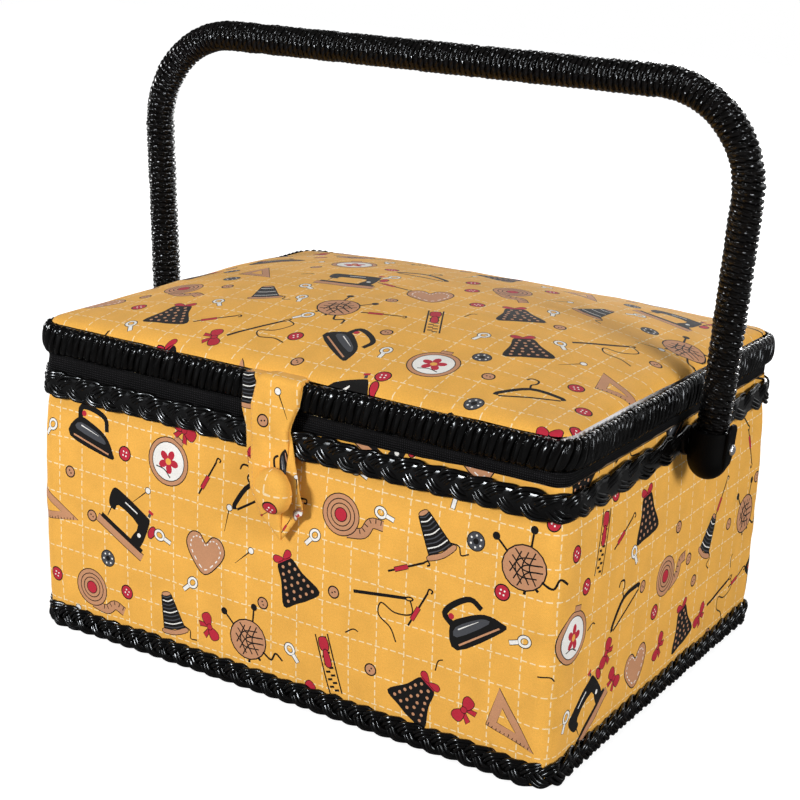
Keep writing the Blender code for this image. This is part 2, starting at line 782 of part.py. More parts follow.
def make_cushion(lid):
    """Foam with a crown, and the printed cloth drawn over it and tucked inside the rim."""
    outer = cushion_surface(0)
    inner = cushion_surface(LID_CLOTH_THICKNESS)
    count = len(outer[0])
    points = [point for row in outer for point in row]
    outer_tip = len(points)
    top = RIM_TOP + FIT_GAP + SHOULDER_RISE + CROWN_RISE
    points.append(Vector((0, 0, top)))
    inner_start = len(points)
    points += [point for row in inner for point in row]
    inner_tip = len(points)
    points.append(Vector((0, 0, top - LID_CLOTH_THICKNESS)))
    faces = stack_faces(outer, 0) + stack_faces(inner, inner_start)
    faces += fan_faces((len(outer) - 1) * count, count, outer_tip)
    faces += fan_faces(inner_start + (len(inner) - 1) * count, count, inner_tip)
    faces += bridge_faces(0, inner_start, count)
    add_object("lid_cover", points, faces, "printed_cotton", lid)

    shrink = LID_CLOTH_THICKNESS + FIT_GAP + FIT_GAP / 2
    foam = cushion_surface(shrink)
    points = [point for row in foam for point in row]
    points.append(Vector((0, 0, top - shrink)))
    faces = stack_faces(foam, 0)
    faces += fan_faces((len(foam) - 1) * count, count, len(points) - 1)
    faces.append(tuple(reversed(range(count))))
    add_object("lid_pad", points, faces, "foam", lid)


def make_lid_layers(lid):
    edge = body_outline(LID_EDGE)
    plate_body("lid_board", edge, LID_BOARD_BOTTOM, LID_BOARD_TOP, "fibreboard", lid)
    plate_body("lid_underlay", edge, LID_BOARD_TOP + FIT_GAP, UNDERLAY_TOP, "white_felt", lid)
    lining = body_outline(-LID_LINING_INSET, LID_LINING_RADIUS)
    plate_body("lid_lining", lining, LID_LINING_BOTTOM, LID_LINING_TOP, "lining_cloth", lid)
    make_pocket(lid)
    make_pincushion(lid)


def make_pocket(lid):
    """A flat pocket under the lid with a thicker elastic band along its open front edge."""
    top = LID_LINING_BOTTOM - FIT_GAP
    centre = Vector((POCKET_CENTRE_X, 0))
    plain = rounded_outline(POCKET_LENGTH / 2, POCKET_DEPTH / 2, POCKET_RADIUS)
    outline = [centre + point for point in plain]
    plate_body("lid_pocket", outline, top - POCKET_THICKNESS, top, "lining_cloth", lid)
    band_top = top - POCKET_THICKNESS - FIT_GAP
    half = POCKET_LENGTH / 2 - POCKET_RADIUS
    front = -POCKET_DEPTH / 2
    band = [
        Vector((POCKET_CENTRE_X - half, front)),
        Vector((POCKET_CENTRE_X + half, front)),
        Vector((POCKET_CENTRE_X + half, front + POCKET_BAND_WIDTH)),
        Vector((POCKET_CENTRE_X - half, front + POCKET_BAND_WIDTH)),
    ]
    plate_body("pocket_elastic", band, band_top - POCKET_BAND_THICKNESS, band_top, "black_tape", lid)


def make_pincushion(lid):
    top = LID_LINING_BOTTOM - FIT_GAP
    profile = [
        (PINCUSHION_RADIUS * radius, PINCUSHION_THICKNESS * depth)
        for radius, depth in ((0.0, 0.0), *BUTTON_PROFILE_SHARES)
    ]

    def place(across, along_y, depth):
        return Vector((PINCUSHION_CENTRE_X + across, along_y, top - depth))

    turned_body("pincushion", profile, place, "printed_cotton", lid)


def hinge_leaf(name, centre_x, bottom, top, body):
    half = HINGE_WIDTH / 2
    outline = [
        Vector((centre_x - half, HINGE_FACE_Y)),
        Vector((centre_x + half, HINGE_FACE_Y)),
        Vector((centre_x + half, HINGE_FACE_Y + HINGE_THICKNESS)),
        Vector((centre_x - half, HINGE_FACE_Y + HINGE_THICKNESS)),
    ]
    plate_body(name, outline, bottom, top, "black_tape", body)


def make_hinges(basket, lid):
    """Two webbing hinges: a leaf on the plait and a leaf on the lid rim, with the fold between them."""
    fold = HINGE_AXIS.z
    for side, label in ((-1, "left"), (1, "right")):
        centre = side * HINGE_SPREAD / 2
        lower_top = fold - HINGE_HALF_SLOT
        upper_bottom = fold + HINGE_HALF_SLOT
        hinge_leaf("hinge_tape_" + label, centre, lower_top - HINGE_BODY_LEAF, lower_top, basket)
        hinge_leaf("hinge_flap_" + label, centre, upper_bottom, upper_bottom + HINGE_LID_LEAF, lid)


def handle_lengths():
    """The legs' lean, and the lengths of a leg, a bend and half the bar."""
    lean = math.atan(HANDLE_SPLAY_SHARE)
    corner_reach = HANDLE_BEND_RADIUS / math.tan(math.radians(45) - lean / 2)
    leg = HANDLE_RISE / math.cos(lean) - corner_reach
    bend = HANDLE_BEND_RADIUS * (math.radians(90) + lean)
    half_bar = HALF_SPAN + HANDLE_RISE * HANDLE_SPLAY_SHARE - corner_reach
    return lean, leg, bend, half_bar


def handle_frame(distance):
    """Point, heading and outward direction on the handle's line, from one pivot to the other.

    Distance is zero at the left pivot and may be negative below it. The legs lean outwards by
    HANDLE_SPLAY_SHARE and join the bar through bends of HANDLE_BEND_RADIUS.
    """
    lean, leg, bend, half_bar = handle_lengths()
    total = 2 * (leg + bend + half_bar)
    if distance > total / 2:
        point, heading, outwards = handle_frame(total - distance)
        mirror = Vector((-1, 1, 1))
        return point * mirror, heading * Vector((1, 1, -1)), outwards * mirror
    if distance <= leg:
        heading = Vector((-math.sin(lean), 0, math.cos(lean)))
        point = Vector((-HALF_SPAN, 0, PIVOT_HEIGHT)) + heading * distance
        return point, heading, Vector((-math.cos(lean), 0, -math.sin(lean)))
    centre = Vector((-half_bar, 0, PIVOT_HEIGHT + HANDLE_RISE - HANDLE_BEND_RADIUS))
    if distance <= leg + bend:
        turn = (distance - leg) / HANDLE_BEND_RADIUS - lean
        outwards = Vector((-math.cos(turn), 0, math.sin(turn)))
        return centre + HANDLE_BEND_RADIUS * outwards, Vector((math.sin(turn), 0, math.cos(turn))), outwards
    point = Vector((-half_bar + distance - leg - bend, 0, PIVOT_HEIGHT + HANDLE_RISE))
    return point, Vector((1, 0, 0)), Vector((0, 0, 1))


def handle_marks():
    """Distances of the bends' ends and steps, and the whole length from pivot to pivot."""
    _, leg, bend, half_bar = handle_lengths()
    total = 2 * (leg + bend + half_bar)
    first = [leg + bend * step / BEND_STEPS for step in range(BEND_STEPS + 1)]
    return first + [total - mark for mark in reversed(first)], total


def tube_ring(distance, radius, sides):
    point, _, outwards = handle_frame(distance)
    across = Vector((0, 1, 0))
    ring = []
    for side in range(sides):
        angle = math.tau * side / sides
        ring.append(point + radius * (math.cos(angle) * outwards + math.sin(angle) * across))
    return ring


def make_handle_core(handle, bore):
    bends, total = handle_marks()
    rows = [
        tube_ring(distance, HANDLE_CORE_RADIUS, CORE_SIDES)
        for distance in (-CORE_FOOT, *bends, total + CORE_FOOT)
    ]
    points = [point for row in rows for point in row]
    faces = stack_faces(rows, 0)
    faces.append(tuple(reversed(range(CORE_SIDES))))
    faces.append(tuple(range(len(points) - CORE_SIDES, len(points))))
    cut_with(add_object("handle_core", points, faces, "fibreboard", handle), bore)


def make_handle_wrap(handle):
    """Cane wound round the rod: one ridge that runs the whole way in an unbroken screw line.

    Row k of points is half a turn's advance further on than row k - 1, even rows are the ridge and odd
    rows the groove, and side WRAP_SIDES of row k is side 0 of row k + 2.
    """
    bends, total = handle_marks()
    start = WRAP_FOOT
    end = total - WRAP_FOOT
    advance = (end - start) / (HANDLE_TURNS + 1 + 1 / WRAP_SIDES)
    row_count = 2 * HANDLE_TURNS + 1
    points = []
    for row in range(row_count):
        radius = HANDLE_WRAP_RADIUS - (HANDLE_GROOVE_DEPTH if row % 2 else 0)
        for side in range(WRAP_SIDES):
            distance = start + advance * (row / 2 + (side + 1) / WRAP_SIDES)
            points.append(tube_ring(distance, radius, WRAP_SIDES)[side])

    def at(row, side):
        if side == WRAP_SIDES:
            return at(row + 2, 0)
        return row * WRAP_SIDES + side

    faces = []
    for row in range(row_count - 1):
        for side in range(WRAP_SIDES):
            if side == WRAP_SIDES - 1 and row + 3 > row_count - 1:
                continue
            faces.append((at(row, side), at(row, side + 1), at(row + 1, side + 1), at(row + 1, side)))
    last = WRAP_SIDES - 1
    plain = HANDLE_WRAP_RADIUS - HANDLE_GROOVE_DEPTH
    first_ring = len(points)
    points += tube_ring(start, plain, WRAP_SIDES)
    final_ring = len(points)
    points += tube_ring(end, plain, WRAP_SIDES)
    top = row_count - 1
    for side in range(last):
        faces.append((first_ring + side, first_ring + side + 1, at(0, side + 1), at(0, side)))
        faces.append((at(top, side), at(top, side + 1), final_ring + side + 1, final_ring + side))
    seam = (at(0, 0), at(1, 0), at(2, 0), at(0, last))
    faces.append((first_ring + last, first_ring, seam[0]))
    for near, far in zip(seam, seam[1:]):
        faces.append((first_ring + last, near, far))
    seam = (at(top, last), at(top - 1, last), at(top - 2, last), at(top, 0))
    faces.append((final_ring, final_ring + last, seam[0]))
    for near, far in zip(seam, seam[1:]):
        faces.append((final_ring, near, far))
    bore_radius = HANDLE_CORE_RADIUS / math.cos(math.pi / WRAP_SIDES) + BORE_CLEARANCE
    marks = [mark for mark in bends if start < mark < end]
    bore_rows = [tube_ring(distance, bore_radius, WRAP_SIDES) for distance in (start, *marks, end)]
    bore_start = len(points)
    points += [point for row in bore_rows for point in row]
    faces += stack_faces(bore_rows, bore_start)
    bore_end = bore_start + (len(bore_rows) - 1) * WRAP_SIDES
    faces += bridge_faces(first_ring, bore_start, WRAP_SIDES)
    faces += bridge_faces(final_ring, bore_end, WRAP_SIDES)
    add_object("handle_wrap", points, faces, "black_cane", handle)


def make_sleeves(handle, bore):
    """Moulded cups that hold the handle's ends, with a stepped socket and a rounded foot."""
    wrap_bore = HANDLE_WRAP_RADIUS + BORE_CLEARANCE
    core_bore = HANDLE_CORE_RADIUS + BORE_CLEARANCE
    socket_step = WRAP_FOOT - FIT_GAP
    socket_floor = -CORE_FOOT - FIT_GAP
    profile = [(0, socket_floor), (core_bore, socket_floor), (core_bore, socket_step)]
    profile += [(wrap_bore, socket_step), (wrap_bore, SLEEVE_TOP), (SLEEVE_RADIUS, SLEEVE_TOP)]
    for radius_share, depth_share in SLEEVE_END_SHARES:
        profile.append((SLEEVE_RADIUS * radius_share, -SLEEVE_STRAIGHT - SLEEVE_END_DEPTH * depth_share))
    lean = math.atan(HANDLE_SPLAY_SHARE)
    for side, label in ((-1, "left"), (1, "right")):
        pivot = Vector((side * HALF_SPAN, 0, PIVOT_HEIGHT))
        along = Vector((side * math.sin(lean), 0, math.cos(lean)))
        across = Vector((math.cos(lean), 0, -side * math.sin(lean)))

        def place(u, v, w, pivot=pivot, along=along, across=across):
            return pivot + u * across + v * Vector((0, 1, 0)) + w * along

        sleeve = turned_body("handle_sleeve_" + label, profile, place, "black_plastic", handle)
        cut_with(sleeve, plate_guide(side, label, place, handle), "UNION")
        cut_with(sleeve, bore)


def plate_guide(side, label, place, handle):
    """A tongue on the sleeve's outer side, which the rivet's head bears on."""
    half = PLATE_WIDTH / 2
    outline = [
        (-half, -PLATE_FOOT),
        (half, -PLATE_FOOT),
        (half, PLATE_TOP - PLATE_CORNER),
        (half - PLATE_CORNER, PLATE_TOP),
        (PLATE_CORNER - half, PLATE_TOP),
        (-half, PLATE_TOP - PLATE_CORNER),
    ]
    outer = SLEEVE_RADIUS + PLATE_STAND

    def stand(point, share):
        return place(side * (outer - PLATE_THICKNESS * share), point[0], point[1])

    return as_guide(prism_body("plate_guide_" + label, outline, stand, "black_plastic", handle))


def make_rivets(basket):
    """Rivets with a domed head outside the sleeve, and a washer inside the lining and a spacer outside."""
    lining_face = HALF_LENGTH + LINING_INSET
    washer_outer = lining_face - FIT_GAP
    washer_inner = washer_outer - WASHER_THICKNESS
    tail_outer = washer_inner - FIT_GAP
    tail_inner = tail_outer - RIVET_TAIL_THICKNESS
    head_inner = HALF_SPAN + SLEEVE_RADIUS + PLATE_STAND + FIT_GAP
    rivet = [(0, tail_inner), (RIVET_TAIL_RADIUS, tail_inner), (RIVET_TAIL_RADIUS, tail_outer)]
    rivet += [(RIVET_RADIUS, tail_outer), (RIVET_RADIUS, head_inner)]
    for radius_share, height_share in RIVET_DOME_SHARES:
        rivet.append((RIVET_HEAD_RADIUS * radius_share, head_inner + RIVET_HEAD_HEIGHT * height_share))
    bore = RIVET_RADIUS + FIT_GAP
    washer = ring_section(bore, WASHER_RADIUS, washer_inner, washer_outer)
    spacer = ring_section(bore, SPACER_RADIUS, SPACER_INNER, SPACER_OUTER)
    for side, label in ((-1, "left"), (1, "right")):

        def place(u, v, w, side=side):
            return Vector((side * w, u, PIVOT_HEIGHT + v))

        turned_body("rivet_" + label, rivet, place, "steel", basket, SMALL_ROUND_STEPS)
        turned_body("rivet_washer_" + label, washer, place, "steel", basket, SMALL_ROUND_STEPS)
        turned_body("rivet_spacer_" + label, spacer, place, "black_plastic", basket)


def ring_section(inner_radius, outer_radius, near, far):
    return [(inner_radius, near), (outer_radius, near), (outer_radius, far), (inner_radius, far)]


def strap_outline():
    """Half outlines of the hanging tab: a taper with a pointed end that drifts a little to the right."""
    left = []
    right = []
    for depth_share, widen_share in zip(STRAP_DEPTH_SHARES, STRAP_WIDEN_SHARES):
        half = (STRAP_WIDTH + (STRAP_TOP_WIDTH - STRAP_WIDTH) * widen_share) / 2
        drop = STRAP_LENGTH * depth_share
        centre = STRAP_DRIFT * depth_share
        left.append((centre - half, STRAP_TOP - drop))
        right.append((centre + half, STRAP_TOP - drop))
    tip = STRAP_TOP - STRAP_LENGTH
    blunt = STRAP_THICKNESS
    return [*left, (STRAP_DRIFT - blunt / 2, tip), (STRAP_DRIFT + blunt / 2, tip), *reversed(right)]


def make_strap(basket, lid, strap):
    def hang(point, share):
        return Vector((point[0], STRAP_BACK_Y - STRAP_THICKNESS * share, point[1]))

    prism_body("strap_tab", strap_outline(), hang, "printed_cotton", strap)

    over = RIM_TOP + FIT_GAP
    top = over + STRAP_THICKNESS
    tuck = -(HALF_DEPTH + LID_EDGE - FIT_GAP / 2 + PAD_OVERHANG + FIT_GAP)
    bend = STRAP_FRONT_Y + STRAP_CORNER
    foot = STRAP_TOP + FIT_GAP
    section = [
        (tuck, top),
        (bend, top),
        (STRAP_FRONT_Y + STRAP_CORNER * BRAID_ROUNDING_SHARE, top - STRAP_CORNER * BRAID_ROUNDING_SHARE),
        (STRAP_FRONT_Y, top - STRAP_CORNER),
        (STRAP_FRONT_Y, foot),
        (STRAP_BACK_Y, foot),
        (STRAP_BACK_Y, over - FIT_GAP),
        (STRAP_BACK_Y + FIT_GAP, over),
        (tuck, over),
    ]
    half = (STRAP_WIDTH + (STRAP_TOP_WIDTH - STRAP_WIDTH) * STRAP_WIDEN_SHARES[0]) / 2

    def spread(point, share):
        return Vector((half * (2 * share - 1), point[0], point[1]))

    prism_body("strap_anchor", section, spread, "printed_cotton", lid)

    button_x = STRAP_DRIFT * BUTTON_DROP / STRAP_LENGTH
    button_z = STRAP_TOP - BUTTON_DROP

    def face_on(u, v, w):
        return Vector((button_x + u, -w, button_z + v))

    back = -STRAP_FRONT_Y + FIT_GAP
    button = [(0, back)]
    for radius_share, height_share in BUTTON_PROFILE_SHARES:
        button.append((BUTTON_RADIUS * radius_share, back + BUTTON_HEIGHT * height_share))
    turned_body("covered_button", button, face_on, "printed_cotton", strap)
    magnet_front = -STRAP_BACK_Y - FIT_GAP
    magnet_back = magnet_front - MAGNET_THICKNESS
    magnet = disc_section(MAGNET_RADIUS, magnet_back, magnet_front)
    turned_body("strap_magnet", magnet, face_on, "steel", strap)
    clasp = disc_section(CLASP_RADIUS, HALF_DEPTH + FIT_GAP + COVER_BULGE, magnet_back - FIT_GAP)
    turned_body("clasp_plate", clasp, face_on, "steel", basket)


def disc_section(radius, near, far):
    return [(0, near), (radius, near), (radius, far), (0, far)]


def build():
    clear_scene()
    basket = body_empty("basket", (0, 0, 0))
    lid = body_empty("lid", HINGE_AXIS, basket)
    handle = body_empty("handle", HANDLE_AXIS, basket)
    strap = body_empty("strap", STRAP_AXIS, lid)
    bore = rivet_cutter()
    make_base(basket)
    make_walls(basket, bore)
    make_body_cover(basket, bore)
    make_edgings(basket, bore)
    make_tray(basket)
    make_rivets(basket)
    make_rim(lid)
    make_cushion(lid)
    make_lid_layers(lid)
    make_hinges(basket, lid)
    make_handle_core(handle, bore)
    make_handle_wrap(handle)
    make_sleeves(handle, bore)
    make_strap(basket, lid, strap)


build()
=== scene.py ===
"""Looks of the sewing basket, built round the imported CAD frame. Units are metres, +Z up, front at -Y."""

import json
import math

import bmesh
import bpy
import numpy as np
from mathutils import Matrix, Vector
from mathutils.geometry import delaunay_2d_cdt


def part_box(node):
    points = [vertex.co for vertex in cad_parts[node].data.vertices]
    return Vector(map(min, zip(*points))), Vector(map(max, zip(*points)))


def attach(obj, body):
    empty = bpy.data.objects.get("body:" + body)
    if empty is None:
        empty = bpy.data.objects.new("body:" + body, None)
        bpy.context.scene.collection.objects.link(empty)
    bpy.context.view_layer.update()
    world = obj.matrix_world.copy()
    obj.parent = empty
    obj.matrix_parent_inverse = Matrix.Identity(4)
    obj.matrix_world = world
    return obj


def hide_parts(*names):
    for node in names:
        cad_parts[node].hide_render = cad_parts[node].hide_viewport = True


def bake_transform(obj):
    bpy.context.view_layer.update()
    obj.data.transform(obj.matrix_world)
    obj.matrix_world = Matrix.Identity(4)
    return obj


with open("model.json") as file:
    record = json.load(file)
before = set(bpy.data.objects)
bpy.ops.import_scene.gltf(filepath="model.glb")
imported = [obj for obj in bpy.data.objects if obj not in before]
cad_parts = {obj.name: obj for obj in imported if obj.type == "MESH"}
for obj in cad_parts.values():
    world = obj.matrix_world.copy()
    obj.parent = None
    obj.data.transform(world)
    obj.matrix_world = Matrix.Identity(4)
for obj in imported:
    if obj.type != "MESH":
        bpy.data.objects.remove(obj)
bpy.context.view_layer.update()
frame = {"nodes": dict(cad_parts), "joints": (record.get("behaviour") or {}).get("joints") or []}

# Sizes of the box, read from the frame
rim_low, rim_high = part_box("lid_rim_wrap")
braid_low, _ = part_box("top_braid")
_, foot_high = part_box("base_braid")
tape_low, tape_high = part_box("rim_tape")
cover_low, cover_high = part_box("body_cover")
dome_low, dome_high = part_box("lid_cover")
_, wrap_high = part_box("handle_wrap")
RIM_STAND = 0.0027
HALF_LENGTH = rim_high.x - RIM_STAND
HALF_DEPTH = rim_high.y - RIM_STAND
CORNER_RADIUS = 0.009
PRINT_SEED = 7

# Camera, solved from the photograph
CAMERA_PLACE = (0.4442, -0.7174, 0.3845)
CAMERA_YAW = math.radians(32.19)
CAMERA_PITCH = math.radians(17.22)
CAMERA_ROLL = math.radians(2.25)
CAMERA_LENS = 76.7
SENSOR_WIDTH = 36.0

# Inks of the print, as linear colours
INKS = {
    "yellow": (0.86, 0.442, 0.078),
    "black": (0.0055, 0.0048, 0.0048),
    "tan": (0.56, 0.275, 0.145),
    "red": (0.50, 0.022, 0.045),
    "white": (0.88, 0.86, 0.82),
    "grey": (0.065, 0.068, 0.078),
}
MOTIF_UNIT = 0.001

# Shapes


def outline_length(outset=0.0, radius=CORNER_RADIUS):
    return 4 * (HALF_LENGTH + HALF_DEPTH) - (8 - math.tau) * radius + math.tau * outset


def outline_sides(radius):
    """Lengths of the outline's straight sides along X and along Y, and of a corner's arc."""
    return 2 * (HALF_LENGTH - radius), 2 * (HALF_DEPTH - radius), math.pi / 2 * radius


def round_trip(count, radius=CORNER_RADIUS):
    """Even distances all the way round the outline."""
    return outline_length(0.0, radius) * np.arange(count) / count


def full_turn(count):
    return math.tau * np.arange(count) / count


def outline(distance, outset=0.0, radius=CORNER_RADIUS):
    """Points on the box's rounded outline, and outward directions.

    Distance runs anticlockwise seen from above, from the middle of the back, along the printed cloth.
    """
    distance = np.mod(np.asarray(distance, float), outline_length(0.0, radius))
    side_x, side_y, arc = outline_sides(radius)
    lengths = (side_x / 2, arc, side_y, arc, side_x, arc, side_y, arc, side_x / 2)
    points = np.zeros((*distance.shape, 2))
    outwards = np.zeros((*distance.shape, 2))
    place = np.array([0.0, HALF_DEPTH])
    heading = math.pi
    start = 0.0
    for index, length in enumerate(lengths):
        inside = (distance >= start) & (distance <= start + length)
        step = distance[inside] - start
        if index % 2:
            centre = place + radius * np.array([-math.sin(heading), math.cos(heading)])
            turned = heading + step / radius
            normal = np.stack([np.sin(turned), -np.cos(turned)], -1)
            points[inside] = centre + radius * normal
            outwards[inside] = normal
            heading += math.pi / 2
            place = centre + radius * np.array([math.sin(heading), -math.cos(heading)])
        else:
            along = np.array([math.cos(heading), math.sin(heading)])
            points[inside] = place + step[:, None] * along
            outwards[inside] = (math.sin(heading), -math.cos(heading))
            place = place + length * along
        start += length
    outset = np.asarray(outset, float)
    return points + outset[..., None] * outwards, outwards


def join_height(flat, height):
    return np.concatenate([flat, np.broadcast_to(height, flat.shape[:-1])[..., None]], -1)


def join_axes(x, y, z):
    """Points from their three parts, any of which may be one value for all."""
    return np.stack(np.broadcast_arrays(x, y, z), -1)


def path_length(points):
    """Distance run along a path up to each of its points."""
    return np.concatenate([[0], np.cumsum(np.linalg.norm(np.diff(points, axis=0), axis=1))])


def unit(vectors):
    return vectors / np.maximum(np.linalg.norm(vectors, axis=-1, keepdims=True), 1e-12)


def waves(along, seed, lengths, amplitude):
    """Smooth wandering values made of a few sine waves with seeded phases."""
    rng = np.random.default_rng(seed)
    total = np.zeros(np.shape(along))
    for length in lengths:
        total += np.sin(np.asarray(along) * math.tau / length + rng.uniform(0, math.tau))
    return amplitude * total / max(1, len(lengths))


def make_mesh(name, points, faces, materials):
    mesh = bpy.data.meshes.new(name)
    mesh.from_pydata(np.asarray(points, float).tolist(), [], faces)
    for material in materials:
        mesh.materials.append(material)
    mesh.shade_smooth()
    item = bpy.data.objects.new(name, mesh)
    bpy.context.scene.collection.objects.link(item)
    return item


def grid_faces(rows, columns, wrap_rows=False, wrap_columns=False, start=0):
    """Quads of a grid of points that is stored row by row."""
    row = np.arange(rows if wrap_rows else rows - 1)
    column = np.arange(columns if wrap_columns else columns - 1)
    r, c = np.meshgrid(row, column, indexing="ij")
    r_next = (r + 1) % rows
    c_next = (c + 1) % columns
    corners = [row * columns + column for row, column in ((r, c), (r, c_next), (r_next, c_next), (r_next, c))]
    return (np.stack(corners, -1).reshape(-1, 4) + start).tolist()


def end_faces(stations, sides):
    """The two faces that close a row of rings."""
    last = (stations - 1) * sides
    return [list(range(sides))[::-1], list(range(last, last + sides))]


def set_uv(item, name, values):
    """Give every face corner the pair of values of its point."""
    mesh = item.data
    layer = mesh.uv_layers.new(name=name)
    corners = np.zeros(len(mesh.loops), int)
    mesh.loops.foreach_get("vertex_index", corners)
    layer.data.foreach_set("uv", np.asarray(values, np.float32)[corners].ravel())


def headings(points, closed):
    """The direction of a path at each of its points."""
    return unit(np.roll(points, -1, 0) - np.roll(points, 1, 0) if closed else np.gradient(points, axis=0))


def tube(name, centres, upwards, half_height, half_width, sides, material, closed=False):
    """A tube along points, with an oval section that stands half_height out along upwards.

    It gets a UV map called strand: distance along the tube, and distance round it.
    """
    centres = np.asarray(centres, float)
    tangent = headings(centres, closed)
    across = unit(np.cross(tangent, upwards))
    up = unit(np.cross(across, tangent))
    angle = full_turn(sides)
    half_height = np.broadcast_to(half_height, len(centres))[:, None, None]
    half_width = np.broadcast_to(half_width, len(centres))[:, None, None]
    ring = (
        half_height * np.cos(angle)[None, :, None] * up[:, None, :]
        + half_width * np.sin(angle)[None, :, None] * across[:, None, :]
    )
    points = (centres[:, None, :] + ring).reshape(-1, 3)
    faces = grid_faces(len(centres), sides, closed, True)
    if not closed:
        faces += end_faces(len(centres), sides)
    item = make_mesh(name, points, faces, [material])
    strand = np.broadcast_arrays(path_length(centres)[:, None], (angle / math.tau)[None, :])
    set_uv(item, "strand", np.stack(strand, -1).reshape(-1, 2))
    return item


def join_items(name, items):
    """Join meshes into the first one and give it this name."""
    with bpy.context.temp_override(active_object=items[0], selected_editable_objects=items):
        bpy.ops.object.join()
    items[0].name = name
    items[0].data.name = name
    return items[0]


# Shader helpers

NOISE_REACH_SHARES = (0.3, 0.7)


def new_material(name):
    material = bpy.data.materials.new(name)
    material.use_nodes = True
    return material, material.node_tree


def link_or_set(tree, node, values):
    """Link or set a node's inputs by name or index; a colour gets its alpha."""
    for name, value in values.items():
        socket = node.inputs[name]
        if isinstance(value, bpy.types.NodeSocket):
            tree.links.new(value, socket)
        else:
            socket.default_value = (*value, 1.0) if socket.type == "RGBA" else value


def add_node(tree, kind, settings=None, inputs=None):
    """Add a shader node with its settings, and link or set its inputs."""
    node = tree.nodes.new(kind)
    for name, value in (settings or {}).items():
        setattr(node, name, value)
    link_or_set(tree, node, inputs or {})
    return node


def maths(tree, operation, *values):
    return add_node(tree, "ShaderNodeMath", {"operation": operation}, dict(enumerate(values))).outputs[0]


def split_vector(tree, vector):
    parts = add_node(tree, "ShaderNodeSeparateXYZ", None, {"Vector": vector}).outputs
    return parts["X"], parts["Y"], parts["Z"]


def uv_parts(tree, name):
    uv = add_node(tree, "ShaderNodeUVMap", {"uv_map": name}).outputs["UV"]
    along, across, _ = split_vector(tree, uv)
    return uv, along, across


def object_place(tree):
    return add_node(tree, "ShaderNodeTexCoord").outputs["Object"]


def noise(tree, vector, scale, detail=2.0, roughness=0.5):
    values = {"Vector": vector, "Scale": scale, "Detail": detail, "Roughness": roughness}
    return add_node(tree, "ShaderNodeTexNoise", None, values).outputs["Fac"]


def drawn_out(tree, along, scale, across):
    """A flat vector scaled in its first part, for noise that is longer one way."""
    scaled = maths(tree, "MULTIPLY", along, scale)
    return add_node(tree, "ShaderNodeCombineXYZ", None, {"X": scaled, "Y": across}).outputs["Vector"]


def spread(tree, value, low, high, from_low, from_high):
    values = {"Value": value, "From Min": from_low, "From Max": from_high, "To Min": low, "To Max": high}
    return add_node(tree, "ShaderNodeMapRange", None, values).outputs["Result"]


def spread_noise(tree, value, low, high):
    """Carry the middle of a noise's range onto the range from low to high."""
    return spread(tree, value, low, high, *NOISE_REACH_SHARES)


def mix_colour(tree, share, first, second, blend="MIX"):
    settings = {"data_type": "RGBA", "blend_type": blend}
    inputs = {"Factor": share, "A": first, "B": second}
    return add_node(tree, "ShaderNodeMix", settings, inputs).outputs["Result"]


def shaded(tree, colour, shade):
    """A colour made darker or lighter by a grey value."""
    grey = add_node(tree, "ShaderNodeCombineColor", None, {"Red": shade, "Green": shade, "Blue": shade})
    return mix_colour(tree, 1.0, colour, grey.outputs["Color"], "MULTIPLY")


def finish(material, values, height, strength, distance):
    """Link or set the inputs of a material's shader, and raise it by a height."""
    tree = material.node_tree
    inputs = {"Strength": strength, "Distance": distance, "Height": height}
    bump = add_node(tree, "ShaderNodeBump", None, inputs)
    link_or_set(tree, tree.nodes["Principled BSDF"], {**values, "Normal": bump.outputs["Normal"]})
    return material


# Materials


def weave_height(tree, along, across, pitch):
    """Over and under of a plain weave, from two distances on the cloth."""
    warp = maths(tree, "SINE", maths(tree, "MULTIPLY", along, math.tau / (2 * pitch)))
    weft = maths(tree, "SINE", maths(tree, "MULTIPLY", across, math.tau / (2 * pitch)))
    crossing = maths(tree, "MULTIPLY", warp, weft)
    ribs = maths(tree, "MULTIPLY", maths(tree, "ABSOLUTE", warp), maths(tree, "ABSOLUTE", weft))
    return maths(tree, "ADD", crossing, ribs)


GRID_PITCH = 0.015
STITCH_HALF_LINE = 0.00030
STITCH_PERIOD = 0.0043
DASH_SHARE = 0.66
DASH_SHIFT_SHARE = 0.37
STITCH_WOBBLE = 0.0016
STITCH_COLOUR = (0.92, 0.72, 0.42)
THREAD_PITCH = 0.00045
COTTON_RELIEF = 0.00012


def stitch_mask(tree, along, across):
    """Running stitches along lines that lie a pitch apart."""
    scaled = maths(tree, "DIVIDE", across, GRID_PITCH)
    nearest = maths(tree, "ROUND", scaled)
    away = maths(tree, "ABSOLUTE", maths(tree, "SUBTRACT", scaled, nearest))
    gap = maths(tree, "MULTIPLY", away, GRID_PITCH)
    line = maths(tree, "LESS_THAN", gap, STITCH_HALF_LINE)
    shift = maths(tree, "MULTIPLY", nearest, DASH_SHIFT_SHARE)
    shifted = maths(tree, "ADD", maths(tree, "DIVIDE", along, STITCH_PERIOD), shift)
    dash = maths(tree, "LESS_THAN", maths(tree, "FRACT", shifted), DASH_SHARE)
    return maths(tree, "MULTIPLY", line, dash)


def stitch_grid(tree, uv, along, across):
    """Dashed lines both ways over the cloth, which wander a little."""
    wander = maths(tree, "SUBTRACT", noise(tree, uv, 35.0, 1.0), 0.5)
    wobble = maths(tree, "MULTIPLY", wander, STITCH_WOBBLE)
    down_lines = stitch_mask(tree, across, maths(tree, "ADD", along, wobble))
    level_lines = stitch_mask(tree, along, maths(tree, "ADD", across, wobble))
    return maths(tree, "MAXIMUM", down_lines, level_lines)


